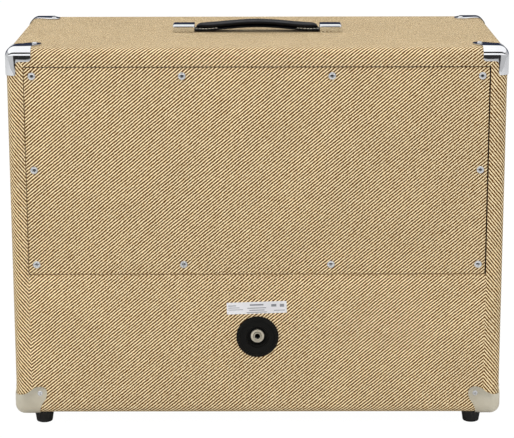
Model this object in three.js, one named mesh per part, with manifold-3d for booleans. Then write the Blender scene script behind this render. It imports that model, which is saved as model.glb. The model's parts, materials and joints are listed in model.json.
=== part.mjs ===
// A closed-back guitar speaker cabinet: a covered plywood box with one 12 inch loudspeaker,
// a screwed rear panel, a recessed jack, a spring-steel strap handle, metal corners and rubber feet.
// Units are millimetres. +Z is up, the grille faces -Y and the rear panel faces +Y.
// The origin is on the surface that the feet stand on, under the middle of the box.

import * as THREE from "three";
import { RoundedBoxGeometry } from "three/addons/geometries/RoundedBoxGeometry.js";
import { mergeVertices } from "three/addons/utils/BufferGeometryUtils.js";
import Module from "manifold-3d";

const wasm = await Module();
wasm.setup();

// ---- Driving dimensions -------------------------------------------------------------------

const WIDTH = 570; // covered box, side to side
const DEPTH = 280; // covered box, grille to rear panel
const HEIGHT = 435; // covered box, without its feet
const FOOT_HEIGHT = 15;
const EDGE_RADIUS = 10; // every outer edge of the covered box
const GAP = 0.3; // clearance between pieces that touch
const PAST = 5; // how far a cutting block runs past the surface it opens
const COVER = 1.2; // tweed covering with its glue
const BOARD = 18; // plywood of the box and the baffle
const REAR_BOARD = 12; // plywood of the rear panels

const SIDE_BORDER = 19.3; // covered edge beside the rear panels
const TOP_BORDER = 21; // covered edge above the upper rear panel
const SEAM_Z = 185; // joint between the two rear panels
const PANEL_RECESS = 1; // the upper rear panel lies this far inside the rear plane
const CLEAT = 18; // square section of the glued strips
const CLEAT_DEPTH = 18;
const RAIL_BELOW = 15; // reach of the cross rail under the seam and above it
const RAIL_ABOVE = 20;

const SCREW_COLUMNS = [-256.05, -85.35, 85.35, 256.05];
const SCREW_TOP_Z = 418;
const SCREW_MIDDLE_Z = 309;
const SCREW_BOTTOM_Z = 197;
const SCREW_HEAD_RADIUS = 4.65;
const SCREW_HEAD_RISE = 2.2;
const SCREW_SHANK_RADIUS = 2;
const SCREW_LENGTH = 28;

const GRILLE_SETBACK = 4; // the grille cloth lies this far inside the front plane
const GRILLE_FRAME = 10.2; // thickness of the grille's frame
const GRILLE_RAIL = 30; // width of the frame's rails
const GRILLE_CLOTH = 1;

const SPEAKER_Z = 232;
const SPEAKER_CUTOUT_RADIUS = 141.5;
const SPEAKER_FLANGE_RADIUS = 154;
const COIL_RADIUS = 25.4;

const JACK_Z = 110;
const DISH_RADIUS = 24.7;
const DISH_CUP_RADIUS = 12.8;
const DISH_DEPTH = 5; // from the rear plane to the floor of the cup
const JACK_BORE_RADIUS = 3.175;
const JACK_NUT_RADIUS = 8;
const BRACKET_DROP = 9.5; // lower edge of the jack's bracket under its axis
const SPRING_DROP = 5; // upper edge of the bracket, where the contact spring lies

const HANDLE_LENGTH = 202; // over both end caps
const CAP_LENGTH = 26.5;
const CAP_WIDTH = 25;
const CAP_HEIGHT = 9;
const CAP_WALL = 1;
const STRAP_WIDTH = 24;
const STRAP_THICKNESS = 8.4;
const STRAP_END_WIDTH = 22;
const STRAP_END_THICKNESS = 3.5;
const STRAP_MIDDLE = 90; // length of the padded grip
const STRAP_RISE = 5.6; // from the box to the underside of the grip
const STRAP_TAPER = 12; // the padding thins over this length before each cap
const STRAP_LIE = 1.2; // gap between the box and the strap's ends
const HANDLE_SCREW_RADIUS = 2.5;
const HANDLE_SCREW_HEAD = 4.5; // radius of its head
const HANDLE_SCREW_INSET = 11; // from the outer end of a cap
const HANDLE_SCREW_TAIL = 8; // how far it comes through the top board
const STRAP_SLOT_IN = 6; // the slot in a strap end, from the screw towards the grip
const STRAP_SLOT_OUT = 4.5; // and towards the outer end
const STRAP_SLOT_HALF = 3.2;

const CORNER_SHEET = 1.2;
const CORNER_LEG = 28.7; // reach from the corner along the level edges
const CORNER_DROP = 31; // reach of a top corner down the upright edge
const TOP_LIP = 15; // a top corner's strip along the upper edge of the front and rear faces
const SIDE_LIP = 11; // its strip down their upright edges
const BASE_LIP = 8.7; // a bottom corner's strip under the box
const BOTTOM_PLATE_HEIGHT = 24;
const CORNER_EAR_RADIUS = 8;
const CORNER_EAR_OUT = 1.5; // a top ear's centre lies this far past the leg
const BOTTOM_EAR_IN = 29; // a bottom ear's centre, from the side and above the box's base
const BOTTOM_EAR_UP = 26;

const FOOT_TOP_RADIUS = 11.5;
const FOOT_BOTTOM_RADIUS = 9.5;
const FOOT_INSET_X = 31;
const FOOT_INSET_Y = 21;

// Left and right as seen from behind, with their signs along X; front and rear along Y.
const SIDES = [["left", 1], ["right", -1]];
const ENDS = [["front", -1], ["rear", 1]];

// ---- Places worked out from them ----------------------------------------------------------

const SIDE = WIDTH / 2;
const REAR = DEPTH / 2;
const FRONT = -REAR;
const BASE = FOOT_HEIGHT;
const TOP = BASE + HEIGHT;
const MIDDLE_Z = (BASE + TOP) / 2;
const OUTER_SET = COVER + GAP; // from the covered surface to the bare boards
const BOARD_SIDE = SIDE - OUTER_SET;
const BOARD_TOP = TOP - OUTER_SET;
const BOARD_BASE = BASE + OUTER_SET;
const INSIDE_X = BOARD_SIDE - BOARD;
const INSIDE_TOP = BOARD_TOP - BOARD;
const INSIDE_BASE = BOARD_BASE + BOARD;
const PANEL_X = SIDE - SIDE_BORDER - GAP;
const PANEL_TOP = TOP - TOP_BORDER - GAP;
const UPPER_FACE = REAR - PANEL_RECESS;
const UPPER_BOARD_REAR = UPPER_FACE - COVER - GAP;
const UPPER_BOARD_FRONT = UPPER_BOARD_REAR - REAR_BOARD;
const LOWER_BOARD_FRONT = REAR - OUTER_SET - REAR_BOARD;
const CLEAT_REAR = UPPER_BOARD_FRONT - GAP;
const CLEAT_FRONT = CLEAT_REAR - CLEAT_DEPTH;
const GRILLE_FACE = FRONT + GRILLE_SETBACK;
const GRILLE_FRAME_FRONT = GRILLE_FACE + GRILLE_CLOTH + GAP;
const GRILLE_FRAME_REAR = GRILLE_FRAME_FRONT + GRILLE_FRAME;
const BAFFLE_FRONT = GRILLE_FRAME_REAR + GAP;
const BAFFLE_REAR = BAFFLE_FRONT + BOARD;
const SPEAKER_Y = BAFFLE_REAR + GAP; // front of the loudspeaker's flange
const CAP_OUTER_X = HANDLE_LENGTH / 2;
const CAP_INNER_X = CAP_OUTER_X - CAP_LENGTH;
const HANDLE_SCREW_X = CAP_OUTER_X - HANDLE_SCREW_INSET;

// ---- Shape helpers ------------------------------------------------------------------------

function solid(geometry) {
  const bare = geometry.clone();
  bare.deleteAttribute("normal");
  bare.deleteAttribute("uv");
  const merged = mergeVertices(bare, 1e-3);
  return new wasm.Manifold(
    new wasm.Mesh({
      numProp: 3,
      vertProperties: new Float32Array(merged.attributes.position.array),
      triVerts: new Uint32Array(merged.index.array),
    }),
  );
}

function geometryOf(body) {
  const mesh = body.getMesh();
  const geometry = new THREE.BufferGeometry();
  geometry.setAttribute("position", new THREE.BufferAttribute(mesh.vertProperties, 3));
  geometry.setIndex(new THREE.BufferAttribute(mesh.triVerts, 1));
  const flat = geometry.toNonIndexed();
  flat.computeVertexNormals();
  return flat;
}

function box(x0, x1, y0, y1, z0, z1) {
  const geometry = new THREE.BoxGeometry(x1 - x0, y1 - y0, z1 - z0);
  geometry.translate((x0 + x1) / 2, (y0 + y1) / 2, (z0 + z1) / 2);
  return solid(geometry);
}

// The covered box grown by an offset, with its rounded edges grown to match.
function roundedEnvelope(offset) {
  const geometry = new RoundedBoxGeometry(
    WIDTH + 2 * offset,
    DEPTH + 2 * offset,
    HEIGHT + 2 * offset,
    3,
    EDGE_RADIUS + offset,
  );
  geometry.translate(0, 0, MIDDLE_Z);
  return solid(geometry);
}

// A cylinder whose axis runs along Y or Z.
function rodY(x, z, radius, y0, y1, segments = 12) {
  const geometry = new THREE.CylinderGeometry(radius, radius, y1 - y0, segments);
  geometry.translate(x, (y0 + y1) / 2, z);
  return solid(geometry);
}

function rodZ(x, y, radius, z0, z1, segments = 12) {
  const geometry = new THREE.CylinderGeometry(radius, radius, z1 - z0, segments);
  geometry.rotateX(Math.PI / 2);
  geometry.translate(x, y, (z0 + z1) / 2);
  return solid(geometry);
}

// A turned shape about an axis along Y. Each profile point is [radius, distance towards +Y].
function turnedY(profile, x, y, z, segments) {
  const points = profile.map(([radius, along]) => new THREE.Vector2(radius, along));
  const geometry = new THREE.LatheGeometry(points, segments);
  geometry.translate(x, y, z);
  const body = solid(geometry);
  return body.volume() < 0 ? solid(flipped(geometry)) : body;
}

// The same about an axis along Z, with the distances upwards.
function turnedZ(profile, x, y, z, segments) {
  const points = profile.map(([radius, along]) => new THREE.Vector2(radius, along));
  const geometry = new THREE.LatheGeometry(points, segments);
  geometry.rotateX(Math.PI / 2);
  geometry.translate(x, y, z);
  const body = solid(geometry);
  return body.volume() < 0 ? solid(flipped(geometry)) : body;
}

function flipped(geometry) {
  const turned = geometry.toNonIndexed();
  const position = turned.attributes.position;
  for (let i = 0; i < position.count; i += 3) {
    const a = new THREE.Vector3().fromBufferAttribute(position, i + 1);
    const b = new THREE.Vector3().fromBufferAttribute(position, i + 2);
    position.setXYZ(i + 1, b.x, b.y, b.z);
    position.setXYZ(i + 2, a.x, a.y, a.z);
  }
  return turned;
}

function ordered(a, b) {
  return a < b ? [a, b] : [b, a];
}

function join(bodies) {
  return bodies.reduce((whole, next) => whole.add(next));
}

function cut(body, tools) {
  return tools.reduce((left, tool) => left.subtract(tool), body);
}

// ---- Finishes -----------------------------------------------------------------------------

function finish(color, roughness, metalness) {
  return () => new THREE.MeshStandardMaterial({ color, roughness, metalness });
}

const tweed = finish(0xba9f75, 0.6, 0);
const plywood = finish(0xc9a87a, 0.75, 0);
const pine = finish(0xd8b98a, 0.8, 0);
const blackPaint = finish(0x1b1b1c, 0.6, 0.2);
const grilleFabric = finish(0x4b2f22, 0.85, 0);
const chrome = finish(0xdfe2e5, 0.08, 1);
const nickel = finish(0xc2bcab, 0.32, 1);
const zinc = finish(0xb9bcc0, 0.35, 1);
const rubber = finish(0x151515, 0.85, 0);
const leather = finish(0x17161a, 0.45, 0);
const blackPlastic = finish(0x1a1b1d, 0.5, 0);
const paper = finish(0x26231f, 0.9, 0);
const ferrite = finish(0x2b2b2e, 0.7, 0.3);
const copper = finish(0xb26a35, 0.35, 1);
const redWire = finish(0x8e1b17, 0.5, 0);

const cabinet = new THREE.Group();

function place(name, body, material) {
  const geometry = body.isBufferGeometry ? body : geometryOf(body);
  const mesh = new THREE.Mesh(geometry, material());
  mesh.name = name;
  cabinet.add(mesh);
}

// ---- Plywood box --------------------------------------------------------------------------

const bareBox = roundedEnvelope(-OUTER_SET);
const FINGERS = 7;
const FINGER_LENGTH = (DEPTH - 2 * OUTER_SET) / FINGERS;

// The finger-jointed ends: even fingers belong to the side boards, odd ones to top and bottom.
function fingers(parity, sideSign, z0, z1) {
  const list = [];
  for (let i = parity; i < FINGERS; i += 2) {
    const y0 = FRONT + OUTER_SET + i * FINGER_LENGTH;
    const inner = INSIDE_X + (parity === 0 ? GAP / 2 : -2 * GAP);
    const x = ordered(inner * sideSign, SIDE * sideSign);
    list.push(box(x[0], x[1], y0 + GAP / 2, y0 + FINGER_LENGTH - GAP / 2, z0, z1));
  }
  return list;
}

function horizontalBoard(z0, z1, rear) {
  const core = box(-INSIDE_X + GAP / 2, INSIDE_X - GAP / 2, FRONT, rear, z0, z1);
  const ends = [-1, 1].flatMap((side) => fingers(1, side, z0, z1));
  return join([core, ...ends]).intersect(bareBox);
}

function sideBoard(side) {
  const x = ordered(INSIDE_X * side, SIDE * side);
  const inner = GAP / 2;
  const low = INSIDE_BASE + inner;
  const high = INSIDE_TOP - inner;
  const shift = side > 0 ? [inner, 0] : [0, -inner];
  const core = box(x[0] + shift[0], x[1] + shift[1], FRONT, REAR, low, high);
  const ends = [
    ...fingers(0, side, BASE, INSIDE_BASE + 1),
    ...fingers(0, side, INSIDE_TOP - 1, TOP),
  ];
  return join([core, ...ends]).intersect(bareBox);
}

const handleHoles = [-1, 1].map((side) =>
  rodZ(side * HANDLE_SCREW_X, 0, HANDLE_SCREW_RADIUS + GAP, INSIDE_TOP - PAST, TOP + PAST, 10),
);

const topBoard = horizontalBoard(INSIDE_TOP + GAP / 2, TOP, REAR);
place("top_board", cut(topBoard, handleHoles), plywood);
const bottomRear = LOWER_BOARD_FRONT - GAP;
place("bottom_board", horizontalBoard(BASE, INSIDE_BASE - GAP / 2, bottomRear), plywood);
place("left_board", sideBoard(1), plywood);
place("right_board", sideBoard(-1), plywood);

// ---- Baffle, its cleats and the grille ----------------------------------------------------

const FIT_X = INSIDE_X - GAP;
const FIT_BASE = INSIDE_BASE + GAP;
const FIT_TOP = INSIDE_TOP - GAP;

const cutout = rodY(0, SPEAKER_Z, SPEAKER_CUTOUT_RADIUS, BAFFLE_FRONT - PAST, BAFFLE_REAR + PAST, 40);
const baffle = box(-FIT_X, FIT_X, BAFFLE_FRONT, BAFFLE_REAR, FIT_BASE, FIT_TOP);
place("baffle_board", baffle.subtract(cutout), blackPaint);

function cleatX(side) {
  return ordered(side * (FIT_X - CLEAT), side * FIT_X);
}

SIDES.forEach(([word, side]) => {
  const [x0, x1] = cleatX(side);
  const y0 = BAFFLE_REAR + GAP;
  place("baffle_cleat_" + word, box(x0, x1, y0, y0 + CLEAT_DEPTH, FIT_BASE, FIT_TOP), pine);
});

const frameX = FIT_X - GRILLE_CLOTH - GAP;
const frameBase = FIT_BASE + GRILLE_CLOTH + GAP;
const frameTop = FIT_TOP - GRILLE_CLOTH - GAP;
const frameOuter = box(
  -frameX,
  frameX,
  GRILLE_FRAME_FRONT,
  GRILLE_FRAME_REAR,
  frameBase,
  frameTop,
);
const frameWindow = box(
  -frameX + GRILLE_RAIL,
  frameX - GRILLE_RAIL,
  GRILLE_FRAME_FRONT - PAST,
  GRILLE_FRAME_REAR + PAST,
  frameBase + GRILLE_RAIL,
  frameTop - GRILLE_RAIL,
);
place("grille_frame", frameOuter.subtract(frameWindow), blackPaint);

// The cloth covers the frame's face and turns back over its four edges.
const clothOuter = box(-FIT_X, FIT_X, GRILLE_FACE, GRILLE_FRAME_REAR - 2, FIT_BASE, FIT_TOP);
const clothInner = box(
  -frameX - GAP,
  frameX + GAP,
  GRILLE_FACE + GRILLE_CLOTH,
  GRILLE_FRAME_REAR + PAST,
  frameBase - GAP,
  frameTop + GAP,
);
place("grille_cloth", clothOuter.subtract(clothInner), grilleFabric);

// ---- Rear cleats, rear panels and their screws --------------------------------------------

const screwPlaces = [
  ...SCREW_COLUMNS.map((x) => [x, SCREW_TOP_Z]),
  [SCREW_COLUMNS[0], SCREW_MIDDLE_Z],
  [SCREW_COLUMNS[3], SCREW_MIDDLE_Z],
  ...SCREW_COLUMNS.map((x) => [x, SCREW_BOTTOM_Z]),
];
const screwHoles = screwPlaces.map(([x, z]) =>
  rodY(x, z, SCREW_SHANK_RADIUS + GAP, CLEAT_FRONT - PAST, REAR + PAST, 8),
);

const RAIL_BASE = SEAM_Z - RAIL_BELOW;
const RAIL_TOP = SEAM_Z + RAIL_ABOVE;
const TOP_CLEAT_BASE = FIT_TOP - CLEAT;
SIDES.forEach(([word, side]) => {
  const [x0, x1] = cleatX(side);
  const cleat = box(x0, x1, CLEAT_FRONT, CLEAT_REAR, RAIL_TOP + GAP, TOP_CLEAT_BASE - GAP);
  place("rear_cleat_" + word, cut(cleat, screwHoles), pine);
});
const topCleat = box(-FIT_X, FIT_X, CLEAT_FRONT, CLEAT_REAR, TOP_CLEAT_BASE, FIT_TOP);
place("rear_cleat_top", cut(topCleat, screwHoles), pine);
const crossRail = box(-FIT_X, FIT_X, CLEAT_FRONT, CLEAT_REAR, RAIL_BASE, RAIL_TOP);
place("rear_cross_rail", cut(crossRail, screwHoles), pine);

const UPPER_BASE = SEAM_Z + GAP / 2;
const LOWER_TOP = SEAM_Z - GAP / 2;
const BOARD_X = INSIDE_X - GAP;
const upperBoard = box(
  -BOARD_X,
  BOARD_X,
  UPPER_BOARD_FRONT,
  UPPER_BOARD_REAR,
  UPPER_BASE,
  PANEL_TOP,
);
place("rear_panel_upper", cut(upperBoard, screwHoles), plywood);

const dishHole = rodY(0, JACK_Z, DISH_CUP_RADIUS + 2, LOWER_BOARD_FRONT - PAST, REAR + PAST, 20);
const lowerBoard = box(-BOARD_X, BOARD_X, LOWER_BOARD_FRONT, REAR, BASE, LOWER_TOP);
place("rear_panel_lower", lowerBoard.intersect(bareBox).subtract(dishHole), plywood);

const screwProfile = [
  [0, -SCREW_LENGTH],
  [SCREW_SHANK_RADIUS, -SCREW_LENGTH + 4],
  [SCREW_SHANK_RADIUS, GAP],
  [SCREW_HEAD_RADIUS, GAP],
  [SCREW_HEAD_RADIUS * 0.93, SCREW_HEAD_RISE * 0.5],
  [SCREW_HEAD_RADIUS * 0.6, SCREW_HEAD_RISE * 0.9],
  [0, SCREW_HEAD_RISE],
];
screwPlaces.forEach(([x, z], i) => {
  const number = String(i + 1).padStart(2, "0");
  place("panel_screw_" + number, turnedY(screwProfile, x, UPPER_FACE, z, 12), chrome);
});

// ---- Tweed covering -----------------------------------------------------------------------

const skin = roundedEnvelope(0).subtract(roundedEnvelope(-COVER));
const WRAP_START = REAR - EDGE_RADIUS; // the flat sides end here and the rounded rear edge begins
const rearMouth = box(
  -SIDE + SIDE_BORDER,
  SIDE - SIDE_BORDER,
  WRAP_START - GAP,
  REAR + PAST,
  BASE - PAST,
  TOP - TOP_BORDER,
);
const frontMouth = box(-INSIDE_X, INSIDE_X, FRONT - PAST, FRONT + PAST, INSIDE_BASE, INSIDE_TOP);
place("cover_sleeve", cut(skin, [rearMouth, frontMouth, ...handleHoles]), tweed);

const upperCover = box(-PANEL_X, PANEL_X, UPPER_FACE - COVER, UPPER_FACE, UPPER_BASE, PANEL_TOP);
place("cover_rear_upper", cut(upperCover, screwHoles), tweed);

const lowerZone = box(-PANEL_X, PANEL_X, WRAP_START, REAR + PAST, BASE - PAST, LOWER_TOP);
place("cover_rear_lower", skin.intersect(lowerZone).subtract(dishHole), tweed);

// ---- Strap handle -------------------------------------------------------------------------

const GRIP_BASE = TOP + STRAP_RISE;
const END_BASE = TOP + STRAP_LIE;
const END_REACH = CAP_OUTER_X - CAP_WALL - 2;

// Height of the strap's underside and its thickness, at a distance from the middle.
function strapSection(distance) {
  const share = Math.min(1, distance / CAP_INNER_X);
  const ease = (1 + Math.cos(Math.PI * share)) / 2;
  const padding = Math.min(1, Math.max(0, (CAP_INNER_X - distance) / STRAP_TAPER));
  return {
    base: END_BASE + (GRIP_BASE - END_BASE) * ease,
    thickness: STRAP_END_THICKNESS + (STRAP_THICKNESS - STRAP_END_THICKNESS) * Math.sqrt(padding),
  };
}

function strapPiece(from, to, width, steps) {
  const outline = new THREE.Shape();
  for (let i = 0; i <= steps; i++) {
    const x = from + ((to - from) * i) / steps;
    const at = strapSection(Math.abs(x));
    if (i === 0) outline.moveTo(x, at.base);
    else outline.lineTo(x, at.base);
  }
  for (let i = steps; i >= 0; i--) {
    const x = from + ((to - from) * i) / steps;
    const at = strapSection(Math.abs(x));
    outline.lineTo(x, at.base + at.thickness);
  }
  const geometry = new THREE.ExtrudeGeometry(outline, { depth: width, bevelEnabled: false });
  geometry.rotateX(Math.PI / 2);
  geometry.translate(0, width / 2, 0);
  return solid(geometry);
}

place("handle_strap", strapPiece(-STRAP_MIDDLE / 2, STRAP_MIDDLE / 2, STRAP_WIDTH, 10), leather);

function handleCap(side) {
  const centre = side * (CAP_OUTER_X - CAP_LENGTH / 2);
  const shell = new RoundedBoxGeometry(CAP_LENGTH, CAP_WIDTH, CAP_HEIGHT * 2, 2, 2.5);
  shell.translate(centre, 0, TOP + GAP);
  const below = box(centre - CAP_LENGTH, centre + CAP_LENGTH, -CAP_WIDTH, CAP_WIDTH, 0, TOP + GAP);
  const inner = ordered(side * (CAP_INNER_X - PAST), side * (CAP_OUTER_X - CAP_WALL));
  const half = CAP_WIDTH / 2 - CAP_WALL;
  const hollow = box(inner[0], inner[1], -half, half, TOP - PAST, TOP + CAP_HEIGHT - CAP_WALL);
  return cut(solid(shell), [below, hollow]);
}

const handleScrewProfile = [
  [0, -BOARD - HANDLE_SCREW_TAIL],
  [HANDLE_SCREW_RADIUS, -BOARD - HANDLE_SCREW_TAIL],
  [HANDLE_SCREW_RADIUS, END_BASE + STRAP_END_THICKNESS + GAP - TOP],
  [HANDLE_SCREW_HEAD, END_BASE + STRAP_END_THICKNESS + GAP - TOP],
  [HANDLE_SCREW_HEAD, CAP_HEIGHT - CAP_WALL - 1.4],
  [0, CAP_HEIGHT - CAP_WALL - 0.6],
];

SIDES.forEach(([word, side]) => {
  const from = side * (STRAP_MIDDLE / 2 + GAP);
  const to = side * END_REACH;
  const slot = ordered(side * (HANDLE_SCREW_X - STRAP_SLOT_IN), side * (HANDLE_SCREW_X + STRAP_SLOT_OUT));
  const slotBox = box(slot[0], slot[1], -STRAP_SLOT_HALF, STRAP_SLOT_HALF, TOP - PAST, TOP + 4 * PAST);
  const span = ordered(from, to);
  const end = strapPiece(span[0], span[1], STRAP_END_WIDTH, 14).subtract(slotBox);
  place("handle_strap_end_" + word, end, leather);
  place("handle_cap_" + word, handleCap(side), chrome);
  const screw = turnedZ(handleScrewProfile, side * HANDLE_SCREW_X, 0, TOP, 12);
  place("handle_screw_" + word, screw, zinc);
});

// ---- Metal corners ------------------------------------------------------------------------

const cornerShell = roundedEnvelope(GAP + CORNER_SHEET).subtract(roundedEnvelope(GAP));

// A block measured inwards from one corner: a from the side, b from the front or rear plane,
// c from the top or bottom plane.
function cornerBlock(sx, sy, top, a, b, c) {
  const x = ordered(sx * (SIDE - a[0]), sx * (SIDE - a[1]));
  const y = ordered(sy * (REAR - b[0]), sy * (REAR - b[1]));
  const z = top ? ordered(TOP - c[0], TOP - c[1]) : ordered(BASE + c[0], BASE + c[1]);
  return box(x[0], x[1], y[0], y[1], z[0], z[1]);
}

function earOnTop(sx, sy) {
  const inset = CORNER_LEG + CORNER_EAR_OUT;
  return rodZ(
    sx * (SIDE - inset),
    sy * (REAR - inset),
    CORNER_EAR_RADIUS,
    TOP - EDGE_RADIUS,
    TOP + PAST,
    16,
  );
}

function earOnSide(sx, sy, z) {
  const geometry = new THREE.CylinderGeometry(CORNER_EAR_RADIUS, CORNER_EAR_RADIUS, 12, 16);
  geometry.rotateZ(Math.PI / 2);
  geometry.translate(sx * SIDE, sy * (REAR - CORNER_LEG - CORNER_EAR_OUT), z);
  return solid(geometry);
}

function topCorner(sx, sy) {
  const leg = [-PAST, CORNER_LEG];
  return join([
    cornerBlock(sx, sy, true, leg, leg, [-PAST, TOP_LIP]),
    cornerBlock(sx, sy, true, [-PAST, SIDE_LIP], leg, [-PAST, CORNER_DROP]),
    earOnTop(sx, sy),
    earOnSide(sx, sy, TOP - CORNER_LEG - CORNER_EAR_OUT),
  ]).intersect(cornerShell);
}

function bottomCorner(sx, sy) {
  const leg = [-PAST, CORNER_LEG];
  const lip = [-PAST, BASE_LIP];
  const plate = [-PAST, BOTTOM_PLATE_HEIGHT];
  const faceEar = rodY(
    sx * (SIDE - BOTTOM_EAR_IN),
    BASE + BOTTOM_EAR_UP,
    CORNER_EAR_RADIUS,
    sy > 0 ? REAR - PAST : FRONT - PAST,
    sy > 0 ? REAR + PAST : FRONT + PAST,
    16,
  );
  return join([
    cornerBlock(sx, sy, false, leg, lip, plate),
    cornerBlock(sx, sy, false, lip, leg, plate),
    faceEar,
    earOnSide(sx, sy, BASE + BOTTOM_EAR_UP),
  ]).intersect(cornerShell);
}

for (const [sxWord, sx] of SIDES) {
  for (const [syWord, sy] of ENDS) {
    const word = syWord + "_" + sxWord;
    place("top_corner_" + word, topCorner(sx, sy), chrome);
    place("bottom_corner_" + word, bottomCorner(sx, sy), nickel);
  }
}

// ---- Rubber feet --------------------------------------------------------------------------

const footProfile = [
  [0, 0],
  [FOOT_BOTTOM_RADIUS - 1.2, 0],
  [FOOT_BOTTOM_RADIUS, 1.2],
  [FOOT_TOP_RADIUS, FOOT_HEIGHT - 3],
  [FOOT_TOP_RADIUS, FOOT_HEIGHT - GAP],
  [0, FOOT_HEIGHT - GAP],
];
for (const [sxWord, sx] of SIDES) {
  for (const [syWord, sy] of ENDS) {
    const x = sx * (SIDE - FOOT_INSET_X);
    const y = sy * (REAR - FOOT_INSET_Y);
    place("foot_" + syWord + "_" + sxWord, turnedZ(footProfile, x, y, 0, 20), rubber);
  }
}

// ---- Jack in its dish ---------------------------------------------------------------------

const CUP_FLOOR_Y = REAR - DISH_DEPTH; // inner floor of the dish
const FLOOR = 2;
const BUSH_RADIUS = 4.6;
const dishProfile = [
  [BUSH_RADIUS + GAP, -DISH_DEPTH - FLOOR],
  [DISH_CUP_RADIUS + 1.5, -DISH_DEPTH - FLOOR],
  [DISH_CUP_RADIUS + 1.5, GAP],
  [DISH_RADIUS, GAP],
  [DISH_RADIUS, 1],
  [DISH_RADIUS - 1.6, 2.4],
  [DISH_CUP_RADIUS + 1.8, 3],
  [DISH_CUP_RADIUS, 2],
  [DISH_CUP_RADIUS, -DISH_DEPTH],
  [BUSH_RADIUS + GAP, -DISH_DEPTH],
  [BUSH_RADIUS + GAP, -DISH_DEPTH - FLOOR],
];
place("jack_dish", turnedY(dishProfile, 0, REAR, JACK_Z, 32), blackPlastic);

const NUT_HEIGHT = 3;
const nutProfile = [
  [BUSH_RADIUS + GAP, GAP],
  [JACK_NUT_RADIUS, GAP],
  [JACK_NUT_RADIUS, NUT_HEIGHT - 0.6],
  [JACK_NUT_RADIUS - 0.6, NUT_HEIGHT],
  [BUSH_RADIUS + GAP, NUT_HEIGHT],
  [BUSH_RADIUS + GAP, GAP],
];
place("jack_nut", turnedY(nutProfile, 0, CUP_FLOOR_Y, JACK_Z, 24), chrome);

const SOCKET_RADIUS = 10;
const SOCKET_LENGTH = 12;
const socketFront = -FLOOR - GAP;
const socketProfile = [
  [JACK_BORE_RADIUS, -FLOOR - SOCKET_LENGTH],
  [SOCKET_RADIUS, -FLOOR - SOCKET_LENGTH],
  [SOCKET_RADIUS, socketFront],
  [BUSH_RADIUS, socketFront],
  [BUSH_RADIUS, NUT_HEIGHT + 0.6],
  [JACK_BORE_RADIUS + 0.5, NUT_HEIGHT + 1],
  [JACK_BORE_RADIUS, NUT_HEIGHT + 0.5],
  [JACK_BORE_RADIUS, -FLOOR - SOCKET_LENGTH],
];
const socketBody = turnedY(socketProfile, 0, CUP_FLOOR_Y, JACK_Z, 24);
// A bracket on the socket's lower side carries the insulated foot of the contact spring.
const SOCKET_BACK = CUP_FLOOR_Y - FLOOR - SOCKET_LENGTH;
const SPRING_ROOT_Y = SOCKET_BACK - 1;
const BRACKET_HALF = 4;
const BRACKET_REACH = 3; // how far the bracket stands behind the socket
const bracket = box(
  -BRACKET_HALF,
  BRACKET_HALF,
  SOCKET_BACK - BRACKET_REACH,
  SOCKET_BACK + 1,
  JACK_Z - BRACKET_DROP,
  JACK_Z - SPRING_DROP,
);
place("jack_socket", socketBody.add(bracket), zinc);

// The contact spring: a strip from the bracket inwards, with a raised point for the plug's tip.
const SPRING_THICKNESS = 0.6;
const SPRING_LENGTH = 17;
const SPRING_FLAT = 10; // the strip rises from here
const SPRING_CREST = 13; // to the point that the plug's tip rests on
const CREST_RISE = 3.2;
const TIP_RISE = 0.8;
const springTip = SPRING_ROOT_Y - SPRING_LENGTH;
const springBase = JACK_Z - SPRING_DROP + GAP;
const springOutline = new THREE.Shape();
springOutline.moveTo(SPRING_ROOT_Y, springBase);
springOutline.lineTo(SPRING_ROOT_Y - SPRING_FLAT, springBase);
springOutline.lineTo(SPRING_ROOT_Y - SPRING_CREST, springBase + CREST_RISE);
springOutline.lineTo(springTip, springBase + TIP_RISE);
springOutline.lineTo(springTip, springBase + TIP_RISE + SPRING_THICKNESS);
springOutline.lineTo(SPRING_ROOT_Y - SPRING_CREST, springBase + CREST_RISE + SPRING_THICKNESS * 1.3);
springOutline.lineTo(SPRING_ROOT_Y - SPRING_FLAT - 0.4, springBase + SPRING_THICKNESS);
springOutline.lineTo(SPRING_ROOT_Y, springBase + SPRING_THICKNESS);
const SPRING_WIDTH = 6;
const springGeometry = new THREE.ExtrudeGeometry(springOutline, {
  depth: SPRING_WIDTH,
  bevelEnabled: false,
});
// The outline is drawn in (Y, Z) and extruded along X.
springGeometry.applyMatrix4(
  new THREE.Matrix4().makeBasis(
    new THREE.Vector3(0, 1, 0),
    new THREE.Vector3(0, 0, 1),
    new THREE.Vector3(1, 0, 0),
  ),
);
springGeometry.translate(-SPRING_WIDTH / 2, 0, 0);
place("jack_tip_spring", solid(springGeometry), copper);

// ---- Loudspeaker --------------------------------------------------------------------------
// Profiles are [radius, distance behind the flange's front face].

const PLATE_FRONT = 78; // front of the magnet's top plate, which is the basket's floor
const PLATE_REAR = 84;
const MAGNET_REAR = 104;
const YOKE_REAR = 112;

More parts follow.
